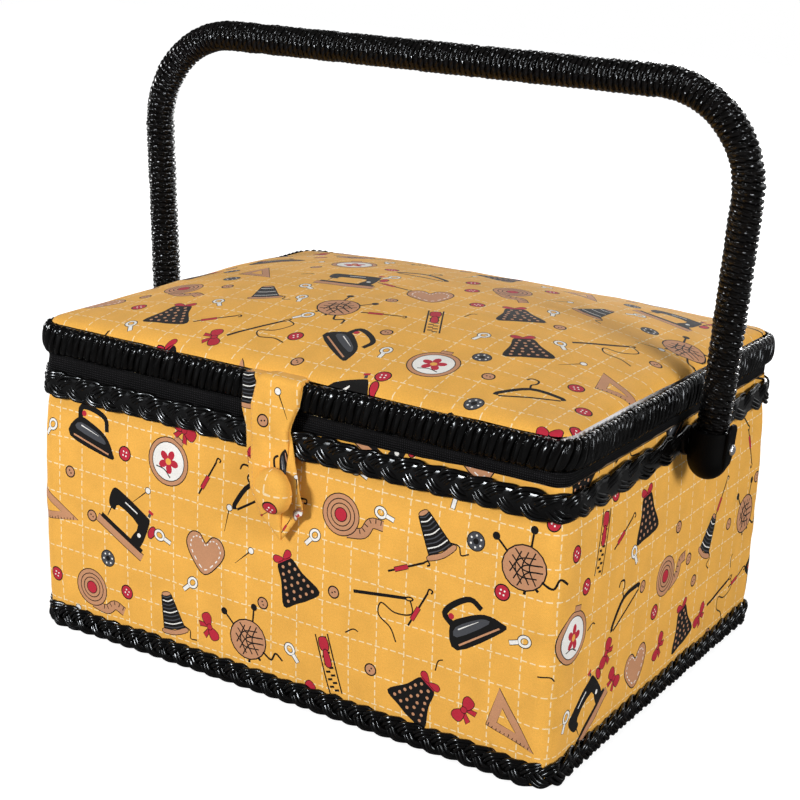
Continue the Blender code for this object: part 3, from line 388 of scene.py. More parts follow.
def cotton(ink):
    """Printed plain weave cotton; the yellow ground carries the printed running stitch grid."""
    material, tree = new_material("cotton_" + ink)
    uv, along, across = uv_parts(tree, "cloth")
    colour = INKS[ink]
    if ink == "yellow":
        colour = mix_colour(tree, stitch_grid(tree, uv, along, across), colour, STITCH_COLOUR)
    tone = spread_noise(tree, noise(tree, uv, 60.0, 4.0), 0.93, 1.06)
    slub = spread_noise(tree, noise(tree, uv, 1400.0, 2.0), 0.93, 1.05)
    values = {
        "Base Color": shaded(tree, colour, maths(tree, "MULTIPLY", tone, slub)),
        "Roughness": 0.82,
        "Specular IOR Level": 0.16,
        "Sheen Weight": 0.05,
        "Sheen Roughness": 0.5,
    }
    return finish(material, values, weave_height(tree, along, across, THREAD_PITCH), 0.35, COTTON_RELIEF)


CANE_DARK = (0.0014, 0.0013, 0.0013)
CANE_LIGHT = (0.0058, 0.0048, 0.0044)
CANE_TINT = (0.90, 0.95, 1.0)
CANE_GLOSS_RANGE = 0.12


def cane(name, twist, fibres, relief=0.00022, grain_share=1.2, gloss=0.08, shine=0.42, paleness=1.0):
    """Glossy black cane or cord; twist turns its fibres into slanting plies."""
    material, tree = new_material(name)
    _, along, across = uv_parts(tree, "strand")
    slant = maths(tree, "ADD", across, maths(tree, "MULTIPLY", along, twist))
    ply = maths(tree, "SINE", maths(tree, "MULTIPLY", slant, math.tau * fibres))
    grain = noise(tree, drawn_out(tree, along, 90.0, slant), 3.0, 3.0)
    blotch = noise(tree, object_place(tree), 160.0, 2.0)
    tones = [tuple(value * paleness for value in colour) for colour in (CANE_DARK, CANE_LIGHT)]
    values = {
        "Base Color": mix_colour(tree, blotch, *tones),
        "Roughness": spread_noise(tree, grain, gloss, gloss + CANE_GLOSS_RANGE),
        "Specular IOR Level": shine,
        "Specular Tint": CANE_TINT,
    }
    height = maths(tree, "ADD", ply, maths(tree, "MULTIPLY", grain, grain_share))
    return finish(material, values, height, 0.9, relief)


MESH_PITCH = 0.0011
TAPE_RELIEF = 0.0004


def tape_cloth():
    """Fine black woven tape in an open slanting mesh, with painted highlight on its raised threads and
    painted shade in the hollows between them.
    """
    material, tree = new_material("woven_tape")
    place = object_place(tree)
    x, y, z = split_vector(tree, place)
    along = maths(tree, "ADD", x, y)
    mesh = weave_height(tree, maths(tree, "ADD", along, z), maths(tree, "SUBTRACT", along, z), MESH_PITCH)
    # Painted highlight: the colour that the raised threads get, a grey with a faint blue whose tone wanders
    # at random.
    light = mix_colour(tree, noise(tree, place, 70.0, 2.0), (0.012, 0.012, 0.013), (0.055, 0.053, 0.058))
    # Painted shade: the mix follows the weave's height, so the hollows between the threads are painted
    # near-black.
    shade = maths(tree, "MULTIPLY", noise(tree, place, 900.0, 3.0), mesh)
    values = {
        "Base Color": mix_colour(tree, shade, (0.0008, 0.0008, 0.0010), light),
        "Roughness": 0.7,
        "Specular IOR Level": 0.12,
    }
    return finish(material, values, mesh, 0.9, TAPE_RELIEF)


RIB_PITCH = 0.0016


def webbing():
    """Heavy black webbing with ribs across it; its rib crests are painted lighter than its grooves, as
    painted highlight and painted shade.
    """
    material, tree = new_material("ribbed_webbing")
    place = object_place(tree)
    x, _, z = split_vector(tree, place)
    rows = maths(tree, "ABSOLUTE", maths(tree, "SINE", maths(tree, "MULTIPLY", z, math.pi / RIB_PITCH)))
    yarns = maths(tree, "SINE", maths(tree, "MULTIPLY", x, math.tau / RIB_PITCH))
    height = maths(tree, "ADD", rows, maths(tree, "MULTIPLY", yarns, 0.3))
    # Painted highlight and shade: the colour follows the ribs' height, lighter on the crests and near-black
    # in the grooves, in random patches.
    shade = maths(tree, "MULTIPLY", rows, noise(tree, place, 1100.0, 3.0))
    values = {
        "Base Color": mix_colour(tree, shade, (0.0015, 0.0015, 0.0018), (0.030, 0.029, 0.032)),
        "Roughness": 0.6,
        "Specular IOR Level": 0.35,
    }
    return finish(material, values, height, 0.9, TAPE_RELIEF)


LINING_COLOUR = (0.62, 0.50, 0.30)
LINING_PITCH = 0.0005
LINING_RELIEF = 0.00015


def lining_cloth(name, upright=False):
    """Plain lining with slubs along its threads; upright cloth has its weave round the wall."""
    material, tree = new_material(name)
    place = object_place(tree)
    along, across, z = split_vector(tree, place)
    if upright:
        along, across = maths(tree, "ADD", along, across), z
    slub = spread_noise(tree, noise(tree, drawn_out(tree, along, 0.08, across), 1500.0, 2.0), 0.84, 1.08)
    tone = spread_noise(tree, noise(tree, place, 25.0, 4.0), 0.93, 1.05)
    values = {
        "Base Color": shaded(tree, LINING_COLOUR, maths(tree, "MULTIPLY", slub, tone)),
        "Roughness": 0.7,
        "Sheen Weight": 0.1,
    }
    return finish(material, values, weave_height(tree, along, across, LINING_PITCH), 0.4, LINING_RELIEF)


DOT_PITCH = 0.0085
DOT_SIZE_SHARE = 0.028


def dotted_cloth():
    """Red cotton with pale dots in staggered rows."""
    material, tree = new_material("dotted_cotton")
    place = object_place(tree)
    x, y, _ = split_vector(tree, place)
    row = maths(tree, "DIVIDE", y, DOT_PITCH / 2)
    nearest = maths(tree, "ROUND", row)
    stagger = maths(tree, "MULTIPLY", maths(tree, "PINGPONG", nearest, 1.0), 0.5)
    column = maths(tree, "ADD", maths(tree, "DIVIDE", x, DOT_PITCH), stagger)
    off_x = maths(tree, "SUBTRACT", column, maths(tree, "ROUND", column))
    off_y = maths(tree, "MULTIPLY", maths(tree, "SUBTRACT", row, nearest), 0.5)
    squares = maths(tree, "ADD", maths(tree, "MULTIPLY", off_x, off_x), maths(tree, "MULTIPLY", off_y, off_y))
    dot = maths(tree, "LESS_THAN", squares, DOT_SIZE_SHARE)
    fuzz = spread_noise(tree, noise(tree, place, 1400.0, 2.0), 0.88, 1.06)
    colour = shaded(tree, mix_colour(tree, dot, INKS["red"], INKS["white"]), fuzz)
    values = {"Base Color": colour, "Roughness": 0.8}
    return finish(material, values, weave_height(tree, x, y, THREAD_PITCH), 0.4, COTTON_RELIEF)


PLASTIC_RELIEF = 0.00005
PLASTIC_GLOSS_RANGE = 0.14


def moulded_plastic(name, dark, light, gloss):
    """Black plastic or rubber with a fine grain and faint scuffs."""
    material, tree = new_material(name)
    place = object_place(tree)
    scuff = noise(tree, place, 120.0, 3.0)
    values = {
        "Base Color": mix_colour(tree, scuff, dark, light),
        "Roughness": spread_noise(tree, scuff, gloss, gloss + PLASTIC_GLOSS_RANGE),
        "Specular IOR Level": 0.10,
    }
    return finish(material, values, noise(tree, place, 2500.0, 2.0), 0.15, PLASTIC_RELIEF)


def grained(name, grain, tones, roughness, strength, relief, extra):
    """A material that one noise tints and raises; a pair of roughnesses makes it uneven in gloss too.

    The grain is the noise's scale, detail and roughness, and extra holds further inputs of the shader.
    """
    material, tree = new_material(name)
    value = noise(tree, object_place(tree), *grain)
    if isinstance(roughness, tuple):
        roughness = spread_noise(tree, value, *roughness)
    values = {"Base Color": mix_colour(tree, value, *tones), "Roughness": roughness, **extra}
    return finish(material, values, value, strength, relief)


def bright_steel():
    tones = ((0.80, 0.80, 0.82), (0.97, 0.97, 1.0))
    return grained("bright_steel", (700.0, 3.0), tones, (0.22, 0.38), 0.1, 0.00004, {"Metallic": 1.0})


def clear_plastic():
    tones = ((0.70, 0.73, 0.75), (0.84, 0.86, 0.87))
    extra = {"Alpha": 0.38, "IOR": 1.45}
    return grained("tray_plastic", (40.0, 2.0), tones, (0.16, 0.28), 0.05, 0.0003, extra)


def fibreboard(name, dark, light):
    return grained(name, (900.0, 5.0, 0.7), (dark, light), 0.8, 0.3, 0.00015, {})


def felt(name, dark, light):
    return grained(name, (1300.0, 4.0, 0.65), (dark, light), 0.95, 0.5, 0.0002, {"Sheen Weight": 0.3})


# Print motifs: each returns inked polygons in millimetres, painted in order


def oval(x, y, width, height=None, turn=0.0, count=18):
    """Points of an ellipse given by its half width and half height."""
    height = width if height is None else height
    angle = full_turn(count)
    points = np.stack([width * np.cos(angle), height * np.sin(angle)], -1)
    return points @ turning(turn).T + (x, y)


def turning(degrees):
    angle = math.radians(degrees)
    return np.array([[math.cos(angle), -math.sin(angle)], [math.sin(angle), math.cos(angle)]])


def smooth_path(points, steps=5, closed=False):
    """A Catmull-Rom curve through control points."""
    points = np.asarray(points, float)
    if closed:
        padded = np.concatenate([points[-1:], points, points[:2]])
    else:
        padded = np.concatenate([2 * points[:1] - points[1:2], points, 2 * points[-1:] - points[-2:-1]])
    made = []
    for index in range(1, len(padded) - 2):
        before, start, end, after = padded[index - 1:index + 3]
        for step in range(steps):
            t = step / steps
            square = (2 * before - 5 * start + 4 * end - after) * t**2
            cube = (3 * start - before - 3 * end + after) * t**3
            made.append(0.5 * (2 * start + (end - before) * t + square + cube))
    if not closed:
        made.append(padded[-2])
    return np.array(made)


def side_directions(points, closed):
    tangent = headings(points, closed)
    return np.stack([tangent[:, 1], -tangent[:, 0]], -1)


def stroke(points, width, taper=1.0):
    """A line of some width along points, as one polygon; taper is the end's width as a share."""
    points = np.asarray(points, float)
    half = width / 2 * np.linspace(1.0, taper, len(points))[:, None]
    side = side_directions(points, False)
    return np.concatenate([points + half * side, (points - half * side)[::-1]])


def doubled_area(points):
    """Twice the area of an outline, above zero where it runs anticlockwise."""
    return np.sum(points[:, 0] * np.roll(points[:, 1], -1) - np.roll(points[:, 0], -1) * points[:, 1])


def grown(points, margin):
    points = np.asarray(points, float)
    return points + math.copysign(margin, doubled_area(points)) * side_directions(points, True)


def outlined(ink, points, line=0.45):
    return [("black", grown(points, line)), (ink, points)]


def box_shape(x, y, width, height, turn=0.0):
    corners = np.array([(-width, -height), (width, -height), (width, height), (-width, height)]) / 2
    return corners @ turning(turn).T + (x, y)


def yarn_ball():
    shapes = []
    for x, turn in ((-3, 28), (3, -24)):
        tip = np.array([(0, -15), (0, 15)]) @ turning(turn).T + (x, 0)
        shapes += [("black", stroke(tip, 1.4, 0.7)), ("black", oval(*tip[1], 1.9, count=12))]
    shapes += outlined("tan", oval(0, -2, 10.5, 10), 0.7)
    for turn in (15, 75, 140):
        for bend in (-5.5, -1.5, 2.5):
            arc = smooth_path([(-8.6, bend - 1), (0, bend + 2.6), (8.6, bend - 1)]) @ turning(turn).T * 0.86
            shapes.append(("black", stroke(arc + (0, -2), 0.65)))
    tail = smooth_path([(7, -9), (11, -13), (15, -10), (18, -14)])
    return shapes + [("black", stroke(tail, 1.1))]


def sewing_machine():
    arm = [(-15, 5), (-15, 11), (-10, 12.5), (8, 12), (12, 9.5), (13, -6)]
    arm += [(6, -6), (6.5, 4), (-8, 5), (-9, 1), (-13, 1)]
    shapes = outlined("tan", box_shape(0, -10, 33, 4))
    shapes += [("black", smooth_path(arm, 3, True)), ("black", box_shape(0, -7, 30, 2.6))]
    shapes += [("black", stroke([(-11.5, 2), (-11.5, -5)], 0.8, 0.4))]
    shapes += outlined("red", oval(15.2, 6.5, 1.8, 3.4, count=14), 0.5)
    shapes += [("white", oval(9.5, -0.5, 1.2, count=10)), ("white", box_shape(-1, 9.2, 9, 0.7))]
    return shapes + [("grey", box_shape(10, 13.6, 1.6, 2.4)), ("red", box_shape(10, 15.4, 3.2, 1.6))]


def flat_iron():
    plate = smooth_path([(-14, -6), (13, -6), (14, -3), (8, 3), (-2, 5.5), (-11, 5)], 4, True)
    handle = smooth_path([(-10, 5), (-11, 11), (-4, 13), (5, 12), (8, 6)], 4)
    shapes = [("black", stroke(handle, 3.2, 0.8)), ("black", grown(plate, 0.5))]
    shapes.append(("grey", smooth_path([(-11, -1), (8, -1), (5, 2.4), (-9, 3.4)], 3, True)))
    shapes.append(("white", stroke([(-8.5, 2.0), (3.5, 1.6)], 0.6, 0.3)))
    shapes.append(("tan", box_shape(0, -4.6, 24, 0.9)))
    return shapes + [("red", oval(-8.5, 8.6, 1.5, count=12))]


def hoop():
    shapes = outlined("tan", oval(0, 0, 12, count=28), 0.5)
    shapes += outlined("white", oval(0, 0, 9.6, count=26))
    shapes += outlined("tan", box_shape(0, 13.2, 5.5, 2.4))
    for turn in range(0, 360, 72):
        petal = oval(0, 3.6, 1.9, 2.7, count=10) @ turning(turn).T
        shapes.append(("red", petal))
    shapes.append(("yellow", oval(0, 0, 1.7, count=10)))
    leaf = smooth_path([(-5, -6.5), (0, -5), (5, -6.5)])
    return shapes + [("black", stroke(leaf, 0.6))]


def tape_roll():
    ribbon = smooth_path([(0, -9.5), (9, -11.5), (15, -8), (21, -10.5)], 5)
    shapes = [("black", stroke(ribbon, 5.4)), ("tan", stroke(ribbon, 4.5))]
    side = side_directions(ribbon, False)
    for index in range(2, len(ribbon) - 1, 2):
        shapes.append(("black", stroke([ribbon[index] - 2.1 * side[index], ribbon[index]], 0.5)))
    shapes += outlined("tan", oval(0, -1, 9.8, 9.8, count=24), 0.5)
    for radius in (7.6, 5.4):
        shapes.append(("black", oval(0, -1, radius + 0.25, count=22)))
        shapes.append(("tan", oval(0, -1, radius - 0.25, count=22)))
    return shapes + outlined("red", oval(0, -1, 3.1, count=16))


def threaded_needle():
    body = np.array([(-13, -9), (12, 10)])
    thread = smooth_path([(11.4, 9.6), (16, 4), (9, -2), (1, -3), (3, -9), (11, -10), (17, -14)], 5)
    shapes = [("black", stroke(thread, 0.75)), ("black", stroke(body, 1.7, 0.9)[[3, 2, 1, 0]])]
    shapes.append(("black", oval(11.2, 9.2, 2.4, 1.25, 38, 12)))
    return shapes + [("yellow", oval(11.2, 9.2, 1.5, 0.5, 38, 10))]


def zip_strip():
    shapes = []
    for step in range(-7, 8):
        lean = 1.15 if step % 2 else -1.15
        shapes.append(("black", box_shape(lean, step * 1.9, 2.6, 1.15)))
    for side in (-1, 1):
        shapes.append(("black", stroke([(side * 3.6, -15), (side * 3.6, 15)], 0.8)))
    for pull in (
        [(-2, 13), (2, 13), (2.4, 8), (0, 6.5), (-2.4, 8)],
        [(-1.1, 6.5), (1.1, 6.5), (1.7, 0), (0, -1.6), (-1.7, 0)],
    ):
        shapes += outlined("red", smooth_path(pull, 3, True))
    return shapes


def heart_patch():
    half = [(8, -4), (11.5, 3), (9, 8.6), (4, 9.2)]
    other = [(-x, y) for x, y in half[::-1]]
    edge = smooth_path([(0, -11), *half, (0, 5), *other], 4, True)
    shapes = outlined("tan", edge, 0.6)
    inner = edge * 0.8
    for index in range(0, len(inner), 2):
        pair = inner[[index, (index + 1) % len(inner)]]
        shapes.append(("white", stroke(pair, 0.6)))
    return shapes


def set_square():
    shapes = outlined("tan", np.array([(-12, -9), (13, -9), (-12, 11)]), 0.5)
    shapes += outlined("yellow", np.array([(-7.5, -5), (2, -5), (-7.5, 2.6)]), 0.35)
    for step in range(11):
        length = 1.7 if step % 5 == 0 else 1.0
        shapes.append(("black", box_shape(-11 + step * 2.1, -9 + length / 2, 0.4, length)))
    return shapes


def crochet_hook():
    shapes = [("black", stroke([(-12, 0), (10, 0)], 1.1))]
    shapes.append(("black", stroke(smooth_path([(9, 0), (12, 0.4), (12.4, -1.6), (10.8, -1.7)], 4), 0.9)))
    return shapes + outlined("red", box_shape(-4, 0, 8, 2.0), 0.35)


def dotted_skirt():
    """A flared skirt with spots and a sash."""
    edge = [(-4, 9), (4, 9), (7, 0), (12, -11), (4, -12.5), (-4, -12), (-12, -11), (-7, 0)]
    spot_rows = ((6.4, 2.6), (3.2, 4.6), (0, 5.6), (-3.2, 7.2), (-6.4, 8.4), (-9.6, 9.6))
    shapes = [("black", grown(smooth_path(edge, 4, True), 0.3))]
    for row, (y, half) in enumerate(spot_rows):
        count = 2 + row // 2 + row % 2
        for step in range(count):
            x = half * (2 * step / max(1, count - 1) - 1) * 0.86
            shapes.append(("tan", oval(x, y, 0.85, count=9)))
    shapes.append(("red", box_shape(0, 9.6, 8.6, 1.9)))
    for side in (-1, 1):
        loop = smooth_path(np.array([(0, 9.8), (3.4, 12.8), (5.6, 12.0), (5.0, 9.6)]) * (side, 1), 3, True)
        shapes += outlined("red", loop, 0.35)
    return shapes


def coat_hanger():
    hook = smooth_path([(0, 2), (0.2, 6), (2.6, 7.6), (3.4, 10.6), (0.6, 12.6), (-2.0, 11.2)], 4)
    arms = smooth_path([(-15, -5), (-13, -2.4), (0, 2.4), (13, -2.4), (15, -5)], 4)
    bar = [(-13.6, -5.6), (13.6, -5.6)]
    return [("black", stroke(hook, 1.0)), ("black", stroke(arms, 2.4)), ("black", stroke(bar, 1.2))]


def thread_cone():
    body = np.array([(-7, -8), (7, -8), (3, 10), (-3, 10)])
    shapes = outlined("black", body, 0.4)
    for step in range(9):
        y = -6.8 + 2.0 * step
        half = 6.6 - 4.0 * (y + 8) / 18
        line = smooth_path([(-half, y + 0.3), (0, y - 0.6), (half, y + 0.3)], 3)
        shapes.append(("white" if step % 3 == 1 else "grey", stroke(line, 0.55)))
    foot = [(-8, -9.6), (0, -11), (8, -9.6), (7.4, -7.6), (0, -8.8), (-7.4, -7.6)]
    shapes += outlined("tan", smooth_path(foot, 3, True), 0.4)
    shapes += outlined("tan", oval(0, 10.6, 2.6, 1.0, count=12), 0.4)
    tail = smooth_path([(6.2, -6), (10, -9), (9, -13), (13, -14)], 4)
    return shapes + [("black", stroke(tail, 0.7))]


def button():
    shapes = outlined("red", oval(0, 0, 3.6, count=18), 0.65)
    for x, y in ((-1.0, -1.0), (1.0, -1.0), (1.0, 1.0), (-1.0, 1.0)):
        shapes.append(("white", oval(x, y, 0.5, count=8)))
    return shapes


def tan_button():
    shapes = outlined("tan", oval(0, 0, 2.7, count=16), 0.75)
    for x in (-0.9, 0.9):
        shapes.append(("black", oval(x, 0, 0.5, count=8)))
    return shapes


def ball_pin():
    shapes = [("black", stroke([(0, 5), (0, -8)], 0.75, 0.3))]
    return shapes + outlined("white", oval(0, 5.6, 1.6, count=12), 0.4)


def bow():
    shapes = []
    for side in (-1, 1):
        loop = np.array([(0, 0), (4, 3.4), (7.4, 2.6), (7.2, -1.6), (3.6, -2.2)]) * (side, 1)
        tail = np.array([(0, 0), (2.2, -5.8), (4.8, -5.4), (2.2, -1)]) * (side, 1)
        shapes += outlined("red", tail, 0.4) + outlined("red", smooth_path(loop, 3, True), 0.4)
    return shapes + outlined("red", oval(0, 0, 1.6, count=10), 0.35)


def bobbin():
    shapes = outlined("grey", oval(0, 0, 4.4, count=18), 0.5)
    shapes += [("black", oval(0, 0, 1.5, count=12))]
    for turn in range(0, 360, 60):
        spot = np.array([(0.0, 2.9)]) @ turning(turn).T
        shapes.append(("white", oval(*spot[0], 0.55, count=8)))
    return shapes


def thread_loop():
    """A short length of thread in a loose curl."""
    curl = smooth_path([(-7, -2), (-3, 2.4), (1.6, 1.0), (0.2, -2.4), (-2.2, -0.2), (1.5, 3.0), (7, 1.0)], 5)
    return [("black", stroke(curl, 0.75, 0.6))]


def white_ring():
    shapes = outlined("white", oval(0, 2.2, 3.0, 3.4, count=16), 0.45)
    shapes.append(("black", oval(0, 2.2, 1.7, 2.1, count=14)))
    shapes.append(("yellow", oval(0, 2.2, 1.35, 1.75, count=14)))
    shapes += outlined("white", box_shape(0, -3.4, 2.0, 4.6), 0.4)
    return shapes


LARGE_MOTIFS = (
    sewing_machine,
    heart_patch,
    dotted_skirt,
    threaded_needle,
    flat_iron,
    hoop,
    coat_hanger,
    tape_roll,
    thread_cone,
    yarn_ball,
    zip_strip,
    dotted_skirt,
    set_square,
)
SMALL_MOTIFS = (
    button,
    ball_pin,
    tan_button,
    crochet_hook,
    white_ring,
    thread_loop,
    button,
    bobbin,
    tan_button,
    white_ring,
    bow,
)
MOTIFS = {motif.__name__: motif for motif in (*LARGE_MOTIFS, *SMALL_MOTIFS)}
LARGE_PITCH = 0.050
ROW_PITCH = 0.039


CLEAR_SPOTS = ((0.803, 0.122, 0.030), (0.846, 0.116, 0.026))
MOTIF_DRIFT = 0.003
LARGE_TURN = 38
SMALL_TURN = 75
SMALL_SCALE = 0.95
SMALL_PLACE_SHARES = ((0.5, 0.0), (0.25, 0.5))
CUT_TOLERANCE = 1e-7
NORMAL_STEP = 0.0004


def scattered(width, height, seed, clear=()):
    """Large motifs in staggered rows that drift and turn, with small ones in the gaps between them.

    No motif has its middle in a clear spot, which is given by its place and reach.
    """
    rng = np.random.default_rng(seed)
    made = []
    rows = int(height / ROW_PITCH) + 2
    columns = int(width / LARGE_PITCH) + 2

    def free(x, y):
        return all(math.hypot(x - spot_x, y - spot_y) > reach for spot_x, spot_y, reach in clear)

    for row in range(rows):
        for column in range(columns):
            x = (column + 0.5 * (row % 2) - 0.3) * LARGE_PITCH
            y = (row - 0.25) * ROW_PITCH
            drift = rng.uniform(-MOTIF_DRIFT, MOTIF_DRIFT, 2)
            motif = LARGE_MOTIFS[(5 * row + column + seed) % len(LARGE_MOTIFS)]
            turn = rng.uniform(-LARGE_TURN, LARGE_TURN)
            if free(x, y):
                made += placed(motif(), x + drift[0], y + drift[1], turn)
            for side, lift in SMALL_PLACE_SHARES:
                pick = SMALL_MOTIFS[rng.integers(len(SMALL_MOTIFS))]
                drift = rng.uniform(-MOTIF_DRIFT, MOTIF_DRIFT, 2)
                place = (x + side * LARGE_PITCH + drift[0], y + lift * ROW_PITCH + drift[1])
                turn = rng.uniform(-SMALL_TURN, SMALL_TURN)
                if free(*place):
                    made += placed(pick(), *place, turn, SMALL_SCALE)
    return made


def placed(shapes, x, y, turn, scale=1.0):
    return [(ink, points * MOTIF_UNIT * scale @ turning(turn).T + (x, y)) for ink, points in shapes]


def cut_shapes(lines_x, lines_y, shapes, edge):
    """Cut shapes into a flat grid of cloth, and give its points, triangles and the ink of each triangle.

    A shape's ink is a name, or None for a guide line that only adds points.
    """
    grid = np.stack(np.meshgrid(lines_x, lines_y, indexing="ij"), -1).reshape(-1, 2)
    points = grid.tolist()
    polygons = [quad[::-1] for quad in grid_faces(len(lines_x), len(lines_y))]
    ground_count = len(polygons)
    inks = [0] * ground_count
    ink_names = list(INKS)

    def add_polygon(shape, ink):
        polygons.append(list(range(len(points), len(points) + len(shape))))
        points.extend(shape.tolist())
        inks.append(ink)

    if edge is not None:
        add_polygon(np.asarray(edge), 0)
    for ink, shape in shapes:
        if (shape.max(0) < grid.min(0)).any() or (shape.min(0) > grid.max(0)).any():
            continue
        anticlockwise = shape if doubled_area(shape) > 0 else shape[::-1]
        add_polygon(anticlockwise, None if ink is None else ink_names.index(ink))
    cut = delaunay_2d_cdt([Vector(point) for point in points], [], polygons, 1, CUT_TOLERANCE)
    flat, triangles, owners = np.array([tuple(point) for point in cut[0]]), cut[2], cut[5]
    kept = []
    slots = []
    for triangle, owner in zip(triangles, owners):
        outside = edge is not None and ground_count not in owner
        if not owner or min(owner) >= ground_count or outside:
            continue
        kept.append(triangle)
        slots.append(inks[max(index for index in owner if inks[index] is not None)])
    used = sorted({index for triangle in kept for index in triangle})
    renumber = {old: new for new, old in enumerate(used)}
    return flat[used], [[renumber[index] for index in triangle] for triangle in kept], slots


def printed_sheet(name, lines_x, lines_y, shapes, surface, materials, edge=None, own_normals=True):
    """Cloth with its print cut into the mesh: flat layout in metres, then carried onto a surface.

    lines_x and lines_y are the places of the grid lines, surface(u, v) gives points in space, and edge is
    an outline that trims the sheet.
    """
    flat, faces, slots = cut_shapes(lines_x, lines_y, shapes, edge)
    item = make_mesh(name, surface(*flat.T), faces, materials)
    item.data.polygons.foreach_set("material_index", slots)
    set_uv(item, "cloth", flat)
    if own_normals:
        x, y = flat.T
        along = surface(x + NORMAL_STEP, y) - surface(x - NORMAL_STEP, y)
        up = surface(x, y + NORMAL_STEP) - surface(x, y - NORMAL_STEP)
        item.data.normals_split_custom_set_from_vertices(unit(np.cross(along, up)).tolist())
    return item


# Stage

WHITE = (1.0, 1.0, 1.0)
CAMERA_CLIP_START = 0.01
CAMERA_CLIP_END = 20.0


def make_camera():
    data = bpy.data.cameras.new("camera")
    camera = bpy.data.objects.new("camera", data)
    bpy.context.scene.collection.objects.link(camera)
    yaw, pitch, roll = CAMERA_YAW, CAMERA_PITCH, CAMERA_ROLL
    ahead = Vector((-math.sin(yaw) * math.cos(pitch), math.cos(yaw) * math.cos(pitch), -math.sin(pitch)))
    right = Vector((math.cos(yaw), math.sin(yaw), 0))
    up = right.cross(ahead)
    across = math.cos(roll) * right + math.sin(roll) * up
    upright = -math.sin(roll) * right + math.cos(roll) * up
    turn = Matrix((across, upright, -ahead)).transposed()
    camera.matrix_world = Matrix.Translation(CAMERA_PLACE) @ turn.to_4x4()
    data.sensor_width = SENSOR_WIDTH
    data.lens = CAMERA_LENS
    data.clip_start = CAMERA_CLIP_START
    data.clip_end = CAMERA_CLIP_END
    bpy.context.scene.camera = camera


def light_path(tree):
    """The outputs of a light path, and the share of rays that see the stage as white."""
    path = add_node(tree, "ShaderNodeLightPath").outputs
    return path, maths(tree, "MAXIMUM", path["Is Camera Ray"], path["Is Transmission Ray"])


FLOOR_SIZE = 6.0
FLOOR_ALBEDO = 0.30
MIRRORED_ALBEDO = 0.12
SHADOW_GLOW = 0.86
SHADOW_NEAR = 0.28
SHADOW_FAR = 0.50


def make_floor():
    """A plain pale floor, which the camera sees as white with a faint shadow of the basket."""
    half = FLOOR_SIZE / 2
    corners = [(-half, -half, 0), (half, -half, 0), (half, half, 0), (-half, half, 0)]
    material, tree = new_material("floor_white")
    floor = make_mesh("floor", corners, [[0, 1, 2, 3]], [material])
    path, seen = light_path(tree)
    albedo = mix_colour(tree, path["Is Glossy Ray"], (FLOOR_ALBEDO,) * 3, (MIRRORED_ALBEDO,) * 3)
    distance = add_node(tree, "ShaderNodeVectorMath", {"operation": "LENGTH"}, {"Vector": object_place(tree)})
    glow = spread(tree, distance.outputs["Value"], SHADOW_GLOW, 1.0, SHADOW_NEAR, SHADOW_FAR)
    values = {
        "Base Color": albedo,
        "Roughness": 0.9,
        "Emission Color": WHITE,
        "Emission Strength": maths(tree, "MULTIPLY", seen, glow),
    }
    link_or_set(tree, tree.nodes["Principled BSDF"], values)


ROOM_SHINE = 0.09
BACKDROP_SHINE = 1.0
BACKDROP_START_SHARE = 0.72
WORLD_GLOW = 0.10


def make_world():
    """White to the camera and through clear pieces; gloss mirrors a white backdrop and a dim room."""
    world = bpy.data.worlds.new("studio")
    world.use_nodes = True
    bpy.context.scene.world = world
    tree = world.node_tree
    path, seen = light_path(tree)
    _, backwards, _ = split_vector(tree, add_node(tree, "ShaderNodeTexCoord").outputs["Generated"])
    mirrored = spread(tree, backwards, ROOM_SHINE, BACKDROP_SHINE, BACKDROP_START_SHARE, 1.0)
    gloss = maths(tree, "MULTIPLY", path["Is Glossy Ray"], mirrored)
    glow = maths(tree, "MULTIPLY", path["Is Diffuse Ray"], WORLD_GLOW)
    strength = maths(tree, "MAXIMUM", maths(tree, "MAXIMUM", seen, gloss), glow)
    link_or_set(tree, tree.nodes["Background"], {"Strength": strength, "Color": WHITE})


LIGHTS = (
    ("key", (-0.70, -1.62, 0.70), 0.30, 26.8),
    ("side", (1.64, -0.44, 0.70), 0.52, 20.6),
    ("back", (0.25, 1.20, 1.15), 0.40, 5.5),
    ("rear", (-0.35, 1.75, 0.45), 0.50, 12.0),
    ("left", (-1.75, 0.30, 0.45), 0.50, 9.0),
)


def make_lights():
    target = Vector((0, 0, dome_low.z))
    for name, place, size, power in LIGHTS:
        data = bpy.data.lights.new(name, "AREA")
        data.shape = "SQUARE"
        data.size = size
        data.energy = power
        light = bpy.data.objects.new(name, data)
        light.location = place
        light.rotation_euler = (target - Vector(place)).to_track_quat("-Z", "Y").to_euler()
        bpy.context.scene.collection.objects.link(light)


# Printed covers


def declare(item, body, slot, *nodes):
    """Attach a piece to the body that carries it and hide the CAD nodes that it stands for; slot is not used.
    """
    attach(item, body)
    if nodes:
        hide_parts(*nodes)


def outline_stations(straight_step, corner_steps):
    """Distances round the outline: even steps on the sides and closer ones in the corners."""
    side_x, side_y, arc = outline_sides(CORNER_RADIUS)
    stations = [0.0]
    for straight in (side_x / 2, side_y, side_x, side_y, side_x / 2):
        runs = [(straight, max(1, round(straight / straight_step)))]
        if len(stations) > 1:
            runs.insert(0, (arc, corner_steps))
        for length, count in runs:
            start = stations[-1]
            stations += [start + length * (step + 1) / count for step in range(count)]
    return np.array(stations)


def corner_share(distance, reach):
    """One at the four corners of the outline, fading to zero within a reach of them."""
    side_x, side_y, arc = outline_sides(CORNER_RADIUS)
    total = outline_length()
    corner = side_x / 2 + arc / 2
    share = np.zeros(np.shape(distance))
    for step in (side_y, side_x, side_y, side_x):
        away = np.abs(np.mod(np.asarray(distance) - corner + total / 2, total) - total / 2)
        share = np.maximum(share, np.exp(-((away / reach) ** 2)))
        corner += step + arc
    return share


